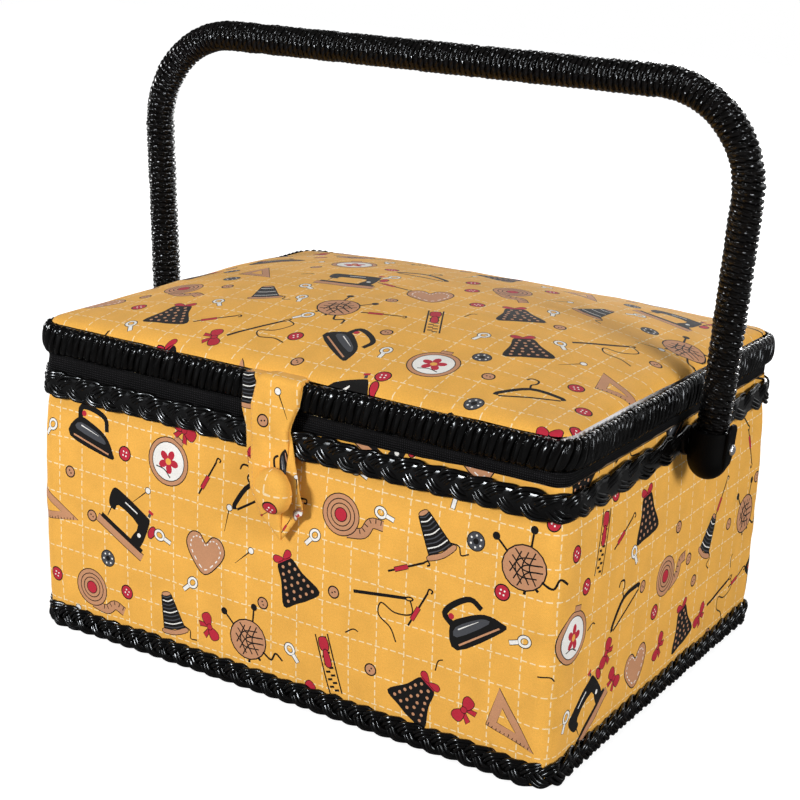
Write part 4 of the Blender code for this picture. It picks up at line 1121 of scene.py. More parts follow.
COVER_BULGE = 0.0007
COVER_PINCH = 0.0018
FOOT_PINCH = 0.0005
COVER_WAVE = 0.00035
COVER_RIPPLE = 0.00022
CORNER_CREASE_REACH = 0.016
SEAM_DEPTH = 0.0007
SEAM_REACH = 0.0035
SEAM_SHIFT = 0.013


def body_surface(along, height):
    """The padded wall: full in the middle and drawn in under the plaits, with a seam at each corner."""
    low = foot_high.z
    share = np.clip((height - low) / (braid_low.z - low), 0, 1)
    arch = np.sin(math.pi * share)
    pinch = FOOT_PINCH + (COVER_PINCH - FOOT_PINCH) * np.clip(2 * share - 1, 0, 1)
    outset = -pinch + (pinch + COVER_BULGE) * np.clip(arch**0.5, 0, 1)
    outset = outset + waves(along, 3, (0.061, 0.093, 0.17), COVER_WAVE) * arch
    ripple = waves(along + 0.3 * height, 5, (0.017, 0.023), COVER_RIPPLE)
    outset = outset + ripple * (share > 0) * (1 - share) ** 2
    crease = waves(height + 0.5 * along, 7, (0.019, 0.031), COVER_WAVE)
    outset = outset + corner_share(along, CORNER_CREASE_REACH) * crease * arch
    seam = SEAM_DEPTH * corner_share(along + SEAM_SHIFT, SEAM_REACH)
    outset = outset - seam * (1 - share) ** 1.5 * (share > 0)
    flat, _ = outline(along, outset)
    return join_height(flat, height)


PRINT_STEP = 0.010
PLAIT_OVERLAP = 0.001


def make_body_cover(cottons):
    """The printed cloth round the wall, tucked in under both plaits."""
    low, high = cover_low.z, cover_high.z
    seen = np.linspace(foot_high.z - PLAIT_OVERLAP, braid_low.z + PLAIT_OVERLAP, 20)
    lines = (outline_stations(PRINT_STEP, 10), np.concatenate([[low], seen, [high]]))
    shapes = scattered(outline_length(), high - low, PRINT_SEED, CLEAR_SPOTS)
    cover = printed_sheet("printed_wall", *lines, shapes, body_surface, cottons)
    declare(cover, "basket", "printed_cotton", "body_cover")


SHOULDER_RISE = 0.0032
SHOULDER_WIDTH = 0.0107
SHOULDER_STEP_SHARES = (0.3, 0.55, 0.75, 0.9, 1.0)
CROWN_RISE = 0.0171
CROWN_POWER = 2.2
CROWN_END_POWER = 2.8
LID_EDGE_INSET = 0.0029
LID_HALF_X = HALF_LENGTH - LID_EDGE_INSET
LID_HALF_Y = HALF_DEPTH - LID_EDGE_INSET
LID_CORNER = 0.0080
LID_DROOP = 0.0022
LID_DROOP_RADIUS = 0.045
LID_PULL = 0.0003
LID_PULL_PLACE = 0.075
LID_PULL_REACH = 0.045
LID_WAVE = 0.00030
LID_RIPPLE = 0.00025


def lid_height(x, y):
    """Height of the padded lid: a rolled shoulder inside the rim, a crown, and a droop at its back left."""
    share_x = np.clip(np.abs(x) / LID_HALF_X, 0, 1)
    share_y = np.clip(np.abs(y) / LID_HALF_Y, 0, 1)
    crown = CROWN_RISE * (1 - share_x**CROWN_END_POWER) * (1 - share_y**CROWN_POWER)
    over_x = np.abs(x) - (LID_HALF_X - LID_CORNER)
    over_y = np.abs(y) - (LID_HALF_Y - LID_CORNER)
    beyond = np.hypot(np.maximum(over_x, 0), np.maximum(over_y, 0))
    inset = LID_CORNER - beyond - np.minimum(np.maximum(over_x, over_y), 0)
    near = 1 - np.clip(inset / SHOULDER_WIDTH, 0, 1)
    shoulder = SHOULDER_RISE * (1 - near**CROWN_POWER) ** (1 / CROWN_POWER)
    corner = np.hypot(LID_HALF_X + x, LID_HALF_Y - y) / LID_DROOP_RADIUS
    droop = LID_DROOP * np.exp(-(corner**2))
    return dome_high.z - CROWN_RISE - SHOULDER_RISE + np.maximum(shoulder + crown - droop, 0)


def lid_surface(x, y):
    """The lid's skin: drawn in a little at its front right, with soft ripples."""
    pulled = np.exp(-(((y + LID_PULL_PLACE) / LID_PULL_REACH) ** 2)) * np.clip(x / LID_HALF_X, 0, 1) ** 10
    x = x - LID_PULL * pulled
    wave = waves(x + 0.6 * y, 11, (0.031, 0.047, 0.083), LID_WAVE)
    ripple = wave + waves(y - 0.4 * x, 12, (0.039, 0.071), LID_RIPPLE)
    return join_axes(x, y, lid_height(x, y) + ripple)


def rounded_rectangle(half_x, half_y, radius, steps=8):
    points = []
    for quarter, (sign_x, sign_y) in enumerate(((1, 1), (-1, 1), (-1, -1), (1, -1))):
        for step in range(steps + 1):
            angle = math.pi / 2 * (quarter + step / steps)
            x = sign_x * (half_x - radius) + radius * math.cos(angle)
            y = sign_y * (half_y - radius) + radius * math.sin(angle)
            points.append((x, y))
    return np.array(points)


def lid_lines(half):
    """Grid lines over the lid, closer over its shoulders."""
    near = half - SHOULDER_WIDTH
    edge = near + SHOULDER_WIDTH * np.array(SHOULDER_STEP_SHARES)
    middle = np.linspace(-near, near, max(2, round(2 * near / PRINT_STEP)))
    return np.concatenate([-edge[::-1], middle, edge])


def make_lid_cover(cottons):
    """The padded lid: a crowned sheet that tucks down inside the rim."""
    middle = (LID_HALF_X, LID_HALF_Y)
    print_shapes = scattered(2 * LID_HALF_X, 2 * LID_HALF_Y, PRINT_SEED + 2)
    shapes = [(ink, points - middle) for ink, points in print_shapes]
    edge = rounded_rectangle(*middle, LID_CORNER)
    lines = (lid_lines(LID_HALF_X), lid_lines(LID_HALF_Y))
    cover = printed_sheet("printed_lid", *lines, shapes, lid_surface, cottons, edge)
    declare(cover, "lid", "printed_cotton", "lid_cover", "lid_pad")


# Wound and plaited cane


def rim_section(angle, half_width, half_height, power):
    """A rounded box section, by angle: outwards at zero and upwards at a quarter turn."""
    cosine, sine = np.cos(angle), np.sin(angle)
    across = half_width * np.sign(cosine) * np.abs(cosine) ** (2 / power)
    up = half_height * np.sign(sine) * np.abs(sine) ** (2 / power)
    return across, up


def turn_wander(seed, t, draws):
    """A function that draws a random value for every turn and runs evenly from one to the next."""
    rng = np.random.default_rng(seed)
    near = t.astype(int)
    share = t - near

    def wandering(size):
        values = rng.normal(0, size, draws)
        return values[near] * (1 - share) + values[(near + 1) % draws] * share

    return wandering


LID_ROUNDING = 0.0130
RIM_TURN_PITCH = 0.0040
RIM_STRIP_THICKNESS = 0.0018
RIM_INSET = -0.0035
RIM_POWER = 2.3
RIM_SAMPLES = 30
RIM_LEAN = 0.0011
RIM_SIDE_SHARE = 0.72
RIM_TOP_SHARE = 0.68
RIM_OVERLAP_SHARE = 0.53
RIM_WIDTH_WANDER = 0.00014
RIM_HEIGHT_WANDER = 0.00020
RIM_LEAN_WANDER = 0.00022
RIM_STRIP_WANDER = 0.00008


def make_rim(material):
    """Cane wound over the lid's hoop, a turn every few millimetres, leaning a little."""
    total = outline_length(0.0, LID_ROUNDING)
    turns = round(total / RIM_TURN_PITCH)
    t = np.arange(turns * RIM_SAMPLES) / RIM_SAMPLES
    angle = math.tau * t
    wandering = turn_wander(21, t, turns)
    half_width = (RIM_STAND - RIM_INSET) / 2 - RIM_STRIP_THICKNESS * RIM_SIDE_SHARE
    half_width = half_width + wandering(RIM_WIDTH_WANDER)
    half_height = (rim_high.z - rim_low.z) / 2 - RIM_STRIP_THICKNESS * RIM_TOP_SHARE
    half_height = half_height + wandering(RIM_HEIGHT_WANDER)
    across, up = rim_section(angle, half_width, half_height, RIM_POWER)
    lean = RIM_LEAN * np.sin(angle) + wandering(RIM_LEAN_WANDER)
    flat, outwards = outline(total * t / turns + lean, (RIM_STAND + RIM_INSET) / 2 + across, LID_ROUNDING)
    centres = join_height(flat, (rim_high.z + rim_low.z) / 2 + up)
    direction = join_height(outwards * np.cos(angle)[:, None], np.sin(angle))
    spacing = np.linalg.norm(np.roll(centres, -RIM_SAMPLES, 0) - centres, axis=1)
    half_strip = np.maximum(spacing, total / turns * 0.8) * RIM_OVERLAP_SHARE + wandering(RIM_STRIP_WANDER)
    rim = tube("wound_rim", centres, direction, RIM_STRIP_THICKNESS, half_strip, 10, material, closed=True)
    declare(rim, "lid", "black_cane", "lid_rim_wrap")


CORD_RADIUS = 0.00108
CORD_PACKING_SHARE = 0.93
STRANDS = 3
STRAND_CORDS = 3
BUNCH_SHARE = 0.35
TURN_SHARE = 0.3
PLAIT_DEPTH = 0.0012
PLAIT_SAMPLES = 1300
PLAIT_WAVE = 0.0004
CORD_WANDER = 0.0005
CORD_LAYER_WAVE = 0.0008
STRAND_BULGE = 0.00022
CORE_THICKNESS = 0.0011
CORE_INSET = 0.0014
SIDE_FADE_PLACE = 0.022
SIDE_FADE_LENGTH = 0.004
FOOT_TUCK_HEIGHT = 0.0045
FOOT_TUCK = 0.0026
TUCK_CORNER_REACH = 0.03


def plait_swing(angle):
    """A strand's distance from the plait's middle and how fast it changes, with wide turns at the edges."""
    wave = np.sin(angle)
    return wave * (1 + TURN_SHARE * (1 - wave**2)), np.cos(angle) * (1 + TURN_SHARE * (1 - 3 * wave**2))


def plait_turns(distance, pitch, stretch):
    """Length of a repeat all along the plait, longer on the right side, and the angle reached there."""
    flat, _ = outline(distance, 0.0, LID_ROUNDING)
    from_corner = HALF_DEPTH - SIDE_FADE_PLACE - np.abs(flat[:, 1])
    on_right = 1 / (1 + np.exp(-from_corner / SIDE_FADE_LENGTH)) * (flat[:, 0] > 0)
    local_pitch = pitch * (1 + stretch * on_right)
    turned = np.cumsum(1 / local_pitch)
    repeats = round(turned[-1] * outline_length(0.0, LID_ROUNDING) / len(distance))
    t = math.tau * repeats * (turned - turned[0]) / (turned[-1] + 1 / local_pitch[0] - turned[0])
    return local_pitch, t


def make_plait(name, node, outset, material, seed, pitch, stretch=0.0, tuck=0.0):
    """A flat plait of three strands, each made of cords that lie side by side, over a dark core.

    Stretch lengthens its repeats along the right side, and tuck draws its lower edge in below the wall.
    """
    low, high = (corner.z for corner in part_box(node))
    distance = round_trip(PLAIT_SAMPLES, LID_ROUNDING)
    local_pitch, t = plait_turns(distance, pitch, stretch)
    swing_room = CORD_RADIUS * (1.1 + (STRAND_CORDS - 1) * CORD_PACKING_SHARE * (1 - BUNCH_SHARE))
    middle = (high + low) / 2 + waves(distance, seed + 7, (0.083, 0.037, 0.021), PLAIT_WAVE)
    swing = (high - low) / 2 - swing_room + waves(distance, seed + 8, (0.061, 0.019), PLAIT_WAVE)
    tuck_share = 1.15 - 0.8 * corner_share(distance, TUCK_CORNER_REACH)
    rise = local_pitch / math.tau

    def tucked(across, share):
        return tuck * share * np.clip(1 - (across - low) / FOOT_TUCK_HEIGHT, 0, 1) ** 1.5

    def cord_line(strand, cord):
        phase = t + math.tau * strand / STRANDS
        place, change = plait_swing(phase)
        slope = swing * change
        size = np.sqrt(slope**2 + rise**2)
        bunched = 1 - BUNCH_SHARE * np.sin(phase) ** 4
        order = cord - (STRAND_CORDS - 1) / 2
        side = order * 2 * CORD_RADIUS * CORD_PACKING_SHARE * bunched
        side = side + waves(distance, seed + 10 * strand + cord, (0.019, 0.047, 0.11), CORD_WANDER)
        across = np.clip(middle + swing * place + side * rise / size, low + CORD_RADIUS * 1.15, None)
        layer_wave = 0.25 * waves(distance, seed + strand, (0.031,), CORD_LAYER_WAVE)
        layer = PLAIT_DEPTH * np.sin(2 * phase) + layer_wave
        stand = outset + layer - STRAND_BULGE * order**2 - tucked(across, tuck_share)
        flat, outwards = outline(distance + side * -slope / size, stand, LID_ROUNDING)
        radius = CORD_RADIUS * (1 + waves(distance, seed + 40 + strand * 4 + cord, (0.013, 0.029), 0.10))
        return join_height(flat, across), join_height(outwards, 0.0), radius

    cords = []
    for strand in range(STRANDS):
        for cord in range(STRAND_CORDS):
            centres, direction, radius = cord_line(strand, cord)
            cord_name = f"{name}_{strand}_{cord}"
            cords.append(tube(cord_name, centres, direction, radius, radius, 7, material, closed=True))
    flat, outwards = outline(distance, outset - tucked(np.full(PLAIT_SAMPLES, low), 1.0) / 2, LID_ROUNDING)
    centres, direction = join_height(flat, middle), join_height(outwards, 0.0)
    half_width = (high - low) / 2 - CORE_INSET
    core = tube(name + "_core", centres, direction, CORE_THICKNESS, half_width, 12, material, closed=True)
    cords.append(core)
    declare(join_items(name, cords), "basket", "black_cane", node)


# Handle

pivot = Vector(next(joint["pos_m"] for joint in frame["joints"] if joint["name"] == "handle_pivot"))
HANDLE_SPLAY_SHARE = 0.0489
HANDLE_LEAN = math.atan(HANDLE_SPLAY_SHARE)
HANDLE_WRAP_RADIUS = 0.00775
HANDLE_RISE = wrap_high.z - HANDLE_WRAP_RADIUS - pivot.z
HANDLE_BEND_LEFT = 0.050
HANDLE_BEND_RIGHT = 0.046
FIT_GAP = 0.0003
SLEEVE_RADIUS = 0.0099
HALF_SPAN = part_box("rivet_spacer_right")[1].x + FIT_GAP + SLEEVE_RADIUS


def handle_parts(radius):
    """Length of a leg, of a bend and of half the bar, for a bend radius."""
    reach = radius / math.tan(math.pi / 4 - HANDLE_LEAN / 2)
    leg = HANDLE_RISE / math.cos(HANDLE_LEAN) - reach
    bend = radius * (math.pi / 2 + HANDLE_LEAN)
    bar = HALF_SPAN + HANDLE_RISE * HANDLE_SPLAY_SHARE - reach
    return leg, bend, bar


def handle_line(distance):
    """Points and outward directions along the handle, from the left pivot to the right one."""
    left = handle_parts(HANDLE_BEND_LEFT)
    right = handle_parts(HANDLE_BEND_RIGHT)
    total = sum(left) + sum(right)
    mirrored = distance > sum(left)
    d = np.where(mirrored, total - distance, distance)
    leg, bend, bar = (np.where(mirrored, b, a) for a, b in zip(left, right))
    radius = np.where(mirrored, HANDLE_BEND_RIGHT, HANDLE_BEND_LEFT)
    top = pivot.z + HANDLE_RISE
    turn = np.clip((d - leg) / radius, 0, math.pi / 2 + HANDLE_LEAN) - HANDLE_LEAN
    places = (d <= leg, d > leg + bend)
    leg_x = -HALF_SPAN - d * math.sin(HANDLE_LEAN)
    leg_z = pivot.z + d * math.cos(HANDLE_LEAN)
    x = np.select(places, (leg_x, -bar + d - leg - bend), -bar - radius * np.cos(turn))
    z = np.select(places, (leg_z, top), top - radius + radius * np.sin(turn))
    turn = np.select(places, (-HANDLE_LEAN, math.pi / 2), turn)
    sign = np.where(mirrored, -1.0, 1.0)
    return join_axes(x * sign, 0.0, z), join_axes(-np.cos(turn) * sign, 0.0, np.sin(turn)), total


HANDLE_TURN_PITCH = 0.0029
HANDLE_SAMPLES = 44
WRAP_FOOT = 0.0043
HANDLE_SHIFT = 0.0009
SHIFT_HEIGHT = 0.030
WRAP_CORD_RADIUS = 0.00118
WRAP_SUNK = 0.00120
WRAP_OVERLAP_SHARE = 0.51
LUMP_LENGTH = 0.0044
LUMP_SHARE = 0.07
WRAP_RADIUS_WANDER = 0.00011
WRAP_SLIP_WANDER = 0.00014
WRAP_CORD_WANDER = 0.00006
WRAP_WIDTH_WANDER = 0.00005


def make_handle(material):
    """Twisted cord wound round the handle's rod in one unbroken screw line."""
    _, _, total = handle_line(np.zeros(1))
    length = total - 2 * WRAP_FOOT
    turns = round(length / HANDLE_TURN_PITCH)
    pitch = length / turns
    t = np.arange(turns * HANDLE_SAMPLES + 1) / HANDLE_SAMPLES
    middle, outwards, _ = handle_line(WRAP_FOOT + pitch * t)
    rise = np.clip((middle[:, 2] - pivot.z) / SHIFT_HEIGHT, 0, 1)
    angle = math.tau * t
    wandering = turn_wander(31, t, turns + 2)
    radius = HANDLE_WRAP_RADIUS - WRAP_SUNK + wandering(WRAP_RADIUS_WANDER)
    across = np.array([0.0, 1.0, 0.0])
    direction = np.cos(angle)[:, None] * outwards + np.sin(angle)[:, None] * across
    slip, _, _ = handle_line(WRAP_FOOT + pitch * t + wandering(WRAP_SLIP_WANDER))
    slip[:, 0] += HANDLE_SHIFT * rise * rise * (3 - 2 * rise)
    centres = slip + radius[:, None] * direction
    lump = LUMP_SHARE * np.sin(math.tau * radius * angle / LUMP_LENGTH + wandering(0.8))
    bent = (np.abs(outwards[:, 0]) < math.cos(HANDLE_LEAN) - 1e-4) & (outwards[:, 2] < 1 - 1e-6)
    bend = np.where(middle[:, 0] > 0, HANDLE_BEND_RIGHT, HANDLE_BEND_LEFT)
    wider = np.where(bent, 1 + np.cos(angle) * radius / bend, 1.0)
    thickness = (WRAP_CORD_RADIUS + wandering(WRAP_CORD_WANDER)) * (1 + lump)
    half_width = (pitch * WRAP_OVERLAP_SHARE + wandering(WRAP_WIDTH_WANDER)) * wider * (1 - 0.6 * lump)
    handle = tube("wound_handle", centres, direction, thickness, half_width, 9, material)
    declare(handle, "handle", "black_cane", "handle_wrap")


# Helpers for solid pieces


def loft(name, rings, material, closed=False, caps=True):
    """A skin over rings of points, given as an array of stations by sides."""
    rings = np.asarray(rings, float)
    stations, sides, _ = rings.shape
    faces = grid_faces(stations, sides, closed, True)
    if caps and not closed:
        faces += end_faces(stations, sides)
    return make_mesh(name, rings.reshape(-1, 3), faces, [material])


def outward_faces(item, merge_gap=0.0):
    """Turn the faces of a closed piece outwards, once points closer than a gap are merged."""
    mesh = bmesh.new()
    mesh.from_mesh(item.data)
    if merge_gap:
        bmesh.ops.remove_doubles(mesh, verts=mesh.verts, dist=merge_gap)
    bmesh.ops.recalc_face_normals(mesh, faces=mesh.faces)
    mesh.to_mesh(item.data)
    mesh.free()
    return item


def solid_loft(name, rings, material):
    return outward_faces(loft(name, rings, material))


def solid_band(name, rings, material):
    """A closed band round the box, from rings that each run all the way round it."""
    return outward_faces(loft(name, np.swapaxes(np.array(rings), 0, 1), material, closed=True))


MERGE_GAP = 1e-6
SHARP_ANGLE = math.radians(40)


def merge_and_shade(item):
    """Merge doubled points, turn faces outwards and shade flat across sharp edges."""
    outward_faces(item, MERGE_GAP)
    item.data.set_sharp_from_angle(angle=SHARP_ANGLE)


def apply_modifiers(item):
    graph = bpy.context.evaluated_depsgraph_get()
    evaluated = item.evaluated_get(graph)
    mesh = bpy.data.meshes.new_from_object(evaluated, preserve_all_data_layers=True, depsgraph=graph)
    old = item.data
    item.modifiers.clear()
    item.data = mesh
    bpy.data.meshes.remove(old)


def thickened(item, thickness):
    """Give a sheet its thickness, away from its face."""
    solid = item.modifiers.new("thickness", "SOLIDIFY")
    solid.thickness = thickness
    solid.offset = -1.0
    apply_modifiers(item)


def edge_distance(points, outline_points):
    """Distance from each point to the nearest side of an outline."""
    points = np.asarray(points, float)
    best = np.full(len(points), np.inf)
    ends = np.roll(outline_points, -1, 0)
    for start, end in zip(outline_points, ends):
        side = end - start
        share = np.clip((points - start) @ side / max(side @ side, 1e-12), 0, 1)
        best = np.minimum(best, np.linalg.norm(points - start - share[:, None] * side, axis=1))
    return best


# The strap: outlines in millimetres across and up, with the height running on over the rim as path length

STRAP_BACK_EDGE = (
    (-5.4, 95.1), (7, 85.5), (15.5, 98), (18.6, 100.5), (18.9, 103), (16.6, 110.5), (14.9, 119),
    (12.1, 131.6), (10.2, 139), (11.6, 143.5), (13.4, 147.6), (15.5, 152), (17, 161), (16, 168), (13.5, 178),
    (-15, 178), (-16.8, 168), (-17.2, 162.7), (-17.6, 146.3), (-15.2, 137.2), (-14.5, 129), (-11.9, 106.9),
)
STRAP_FRONT_EDGE = (
    (-5.4, 95.1), (7, 85.5), (6.6, 98.4), (9.1, 119), (10.2, 128.7), (9.8, 139), (11.2, 143.5), (13.0, 147.6),
    (15.1, 152), (16.6, 161), (15.6, 168), (13, 178), (-3, 178), (-5.5, 168), (-8.5, 160), (-11.3, 149),
    (-11.4, 130), (-10.9, 108),
)
STRAP_BACK_PRINT = (
    ("thread_cone", -12.5, 156.0, 12, 0.9),
    ("bow", -13.5, 123.5, 30, 0.7),
    ("ball_pin", 15.0, 115.0, 8, 0.6),
    ("hoop", 17.2, 99.5, 0, 0.32),
    ("crochet_hook", 9.5, 93.5, 60, 0.4),
)
STRAP_FRONT_PRINT = (
    ("ball_pin", 6.5, 152.5, 24, 1.0),
    ("tan_button", -4.0, 142.0, 10, 0.95),
    ("flat_iron", 8.0, 124.0, 100, 0.42),
    ("crochet_hook", -3.5, 96.0, 35, 0.35),
)
STRAP_SEAM = ((-7.8, 160.0), (-10.0, 149.0), (-10.1, 130.0), (-9.6, 108.0), (-4.5, 96.0))
DASH_LENGTH = 0.0012
DASH_GAP = 0.0010
DASH_WIDTH = 0.00022
STRAP_BACK_STAND = -0.0006
STRAP_FRONT_STAND = 0.0005
STRAP_BEND_RADIUS = 0.0026
STRAP_LAYER = 0.0010
STRAP_GRID = 0.0016
STRAP_MARGIN = 0.001
STRAP_DENT = 0.00035
STRAP_RIPPLE = 0.00025
STRAP_FADE = 0.02
CORNER_ROLL = 0.0012
CORNER_ROLL_X = 0.017
CORNER_ROLL_Z = 0.1005
CORNER_ROLL_REACH = 0.0022
HEM_ROUNDING = 0.0006
HEM_WIDTH = 0.0013
HEM_STEP_SHARES = (0.25, 0.5, 0.75, 1.0)
strap_low, strap_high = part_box("strap_tab")


def strap_point(x, rise, outset):
    """Carry the flat strap down the front, round the rim's edge and over its top."""
    bend_start = strap_high.z
    angle = np.clip((rise - bend_start) / STRAP_BEND_RADIUS, 0, math.pi / 2)
    flat = np.maximum(rise - bend_start - STRAP_BEND_RADIUS * math.pi / 2, 0)
    radius = STRAP_BEND_RADIUS + outset
    y = strap_low.y - outset + np.where(angle > 0, radius * (1 - np.cos(angle)), 0) + flat
    return join_axes(x, y, np.where(angle > 0, bend_start + radius * np.sin(angle), rise))


def strap_sheet(name, edge, base, shapes, materials, seed, corner_roll=0.0):
    """One printed layer of the strap, with rounded hems and soft dents."""
    edge = np.array(edge) * MOTIF_UNIT

    def surface(x, rise):
        inset = edge_distance(np.stack([x, rise], -1), edge)
        hem = HEM_ROUNDING * (1 - np.clip(inset / HEM_WIDTH, 0, 1)) ** 2
        dent = waves(x + 0.35 * rise, seed, (0.0135, 0.021), STRAP_DENT)
        dent = dent + waves(rise, seed + 1, (0.019, 0.034), STRAP_RIPPLE)
        away = (x - CORNER_ROLL_X) ** 2 + (rise - CORNER_ROLL_Z) ** 2
        roll = corner_roll * np.exp(-away / (2 * CORNER_ROLL_REACH**2))
        fade = np.clip((strap_high.z - rise) / STRAP_FADE, 0, 1)
        return strap_point(x, rise, base - hem + fade * dent + roll)

    low = edge.min(0) - STRAP_MARGIN
    high = edge.max(0) + 2 * STRAP_MARGIN
    lines = [np.arange(low[axis], high[axis], STRAP_GRID) for axis in (0, 1)]
    guides = [(None, grown(edge, -HEM_WIDTH * share)) for share in HEM_STEP_SHARES]
    sheet = printed_sheet(name, *lines, guides + shapes, surface, materials, edge, False)
    thickened(sheet, STRAP_LAYER)
    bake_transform(sheet)
    return sheet


def seam_dashes(points, length, gap, width):
    """Short dashes along a line, in metres."""
    points = np.asarray(points, float)
    along = path_length(points)
    dashes = []
    for start in np.arange(0, along[-1] - length, length + gap):
        pair = np.stack([np.interp([start, start + length], along, points[:, axis]) for axis in (0, 1)], -1)
        dashes.append(stroke(pair, width))
    return dashes


def print_at(rows):
    """Motifs by name, each placed in millimetres, turned and scaled."""
    shapes = []
    for name, x, y, turn, scale in rows:
        shapes += placed(MOTIFS[name](), x * MOTIF_UNIT, y * MOTIF_UNIT, turn, scale)
    return shapes


def make_strap(materials):
    """The strap's two printed layers, sewn together along the front one's edge."""
    seam = np.array(STRAP_SEAM) * MOTIF_UNIT
    stitches = [("tan", dash) for dash in seam_dashes(seam, DASH_LENGTH, DASH_GAP, DASH_WIDTH)]
    back_print = print_at(STRAP_BACK_PRINT)
    front_print = print_at(STRAP_FRONT_PRINT) + stitches
    back_look = (STRAP_BACK_STAND, back_print, materials, 61, CORNER_ROLL)
    back = strap_sheet("strap_back_layer", STRAP_BACK_EDGE, *back_look)
    front = strap_sheet("strap_front_layer", STRAP_FRONT_EDGE, STRAP_FRONT_STAND, front_print, materials, 71)
    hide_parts("strap_tab")
    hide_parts("strap_anchor")


BUTTON_RADIUS = 0.0110
BUTTON_DOME = 0.0060
BUTTON_UNDERCUT = 1.95
BUTTON_POWER = 0.86
BUTTON_YAW = -0.24
BUTTON_RIGHT = 0.0006
BUTTON_RAISE = 0.0010
BUTTON_SUNK = 0.0038
BUTTON_CLOTH = 0.0150
BUTTON_PUCKER = 0.00012
button_low, button_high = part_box("covered_button")


def button_surface(u, v):
    """Carry a flat round of cloth over the dome and in below its edge; the dome stands a little askew."""
    radius = np.hypot(u, v)
    out = np.clip(radius / BUTTON_CLOTH, 0, 1)
    angle = out * BUTTON_UNDERCUT
    pucker = BUTTON_PUCKER * np.sin(15 * np.arctan2(v, u)) * out**4
    reach = np.abs(np.sin(angle)) ** BUTTON_POWER * (BUTTON_RADIUS + pucker)
    cosine = np.cos(angle)
    stand = BUTTON_DOME * np.sign(cosine) * np.abs(cosine) ** BUTTON_POWER
    share = np.where(radius > 0, reach / np.maximum(radius, 1e-9), 0)
    across = u * share
    cosine_yaw, sine_yaw = math.cos(BUTTON_YAW), math.sin(BUTTON_YAW)
    centre_x = (button_low.x + button_high.x) / 2 + BUTTON_RIGHT
    x = centre_x + across * cosine_yaw + stand * sine_yaw
    y = button_high.y - BUTTON_SUNK + across * sine_yaw - stand * cosine_yaw
    return join_axes(x, y, (button_low.z + button_high.z) / 2 + BUTTON_RAISE + v * share)


def make_button(materials):
    """A cloth covered dome button, whose print runs on over its edge."""
    lines = np.linspace(-BUTTON_CLOTH, BUTTON_CLOTH, 30)
    shapes = print_at([("button", 2.2, -5.4, -38, 0.85)])
    edge = oval(0, 0, BUTTON_CLOTH, count=64)
    piece = printed_sheet("cloth_button", lines, lines, shapes, button_surface, materials, edge)
    declare(piece, "strap", "printed_cotton", "covered_button")


# Hard pieces at the handle's feet

SLEEVE_MOUTH = 0.0084
SLEEVE_FLOOR = 0.0038
SLEEVE_TOP = 0.0083
SLEEVE_STRAIGHT = 0.0055
SLEEVE_FOOT = 0.0165
SLEEVE_EDGE = 0.0005
SLEEVE_SIDES = 56
FOOT_STEPS = 14
PLATE_HALF_WIDTH = 0.0048
PLATE_POWER = 5.0
PLATE_STATIONS = (
    (-0.0120, 0.0070, 0.0078, 0.40),
    (-0.0075, 0.0074, 0.0100, 0.80),
    (-0.0030, 0.0080, 0.0105, 0.98),
    (0.0020, 0.0086, 0.0106, 1.0),
    (0.0070, 0.0088, 0.0107, 1.0),
    (0.0092, 0.0089, 0.0108, 0.99),
    (0.0106, 0.0089, 0.0108, 0.86),
    (0.0118, 0.0090, 0.0108, 0.62),
    (0.0124, 0.0091, 0.0107, 0.40),
    (0.0127, 0.0094, 0.0104, 0.20),
)


def sleeve_profile():
    """Radius and height of the cup's outline, from the middle of its floor to the tip of its rounded foot."""
    profile = [(0.0, SLEEVE_FLOOR), (SLEEVE_MOUTH, SLEEVE_FLOOR), (SLEEVE_MOUTH, SLEEVE_TOP - SLEEVE_EDGE)]
    profile += [(SLEEVE_MOUTH + SLEEVE_EDGE, SLEEVE_TOP), (SLEEVE_RADIUS - SLEEVE_EDGE, SLEEVE_TOP)]
    profile += [(SLEEVE_RADIUS, SLEEVE_TOP - SLEEVE_EDGE), (SLEEVE_RADIUS, -SLEEVE_STRAIGHT)]
    for step in range(1, FOOT_STEPS + 1):
        angle = math.pi / 2 * step / FOOT_STEPS
        drop = SLEEVE_STRAIGHT + (SLEEVE_FOOT - SLEEVE_STRAIGHT) * math.sin(angle)
        profile.append((SLEEVE_RADIUS * math.cos(angle), -drop))
    return profile


def make_sleeve(side, label, material):
    """A moulded cup with a rounded foot, and a plate on its outer side for the rivet."""
    origin = np.array([side * HALF_SPAN, 0.0, pivot.z])
    across = np.array([side * math.cos(HANDLE_LEAN), 0.0, -math.sin(HANDLE_LEAN)])
    along = np.array([side * math.sin(HANDLE_LEAN), 0.0, math.cos(HANDLE_LEAN)])
    depth = np.array([0.0, 1.0, 0.0])
    angle = full_turn(SLEEVE_SIDES)
    spokes = np.cos(angle)[:, None] * across + np.sin(angle)[:, None] * depth
    rings = [origin + radius * spokes + height * along for radius, height in sleeve_profile()]
    cup = loft("cup_" + label, rings, material, caps=False)
    rings = []
    for height, inner, outer, width_share in PLATE_STATIONS:
        half = (outer - inner) / 2
        out, wide = rim_section(angle, half, PLATE_HALF_WIDTH * width_share, PLATE_POWER)
        middle = origin + (inner + half) * across + height * along
        rings.append(middle + out[:, None] * across + wide[:, None] * depth)
    plate = loft("plate_" + label, rings, material)
    sleeve = join_items("handle_cup_" + label, [cup, plate])
    merge_and_shade(sleeve)
    declare(sleeve, "handle", "black_plastic", "handle_sleeve_" + label)


# Tape, hinges and the layers round the lid

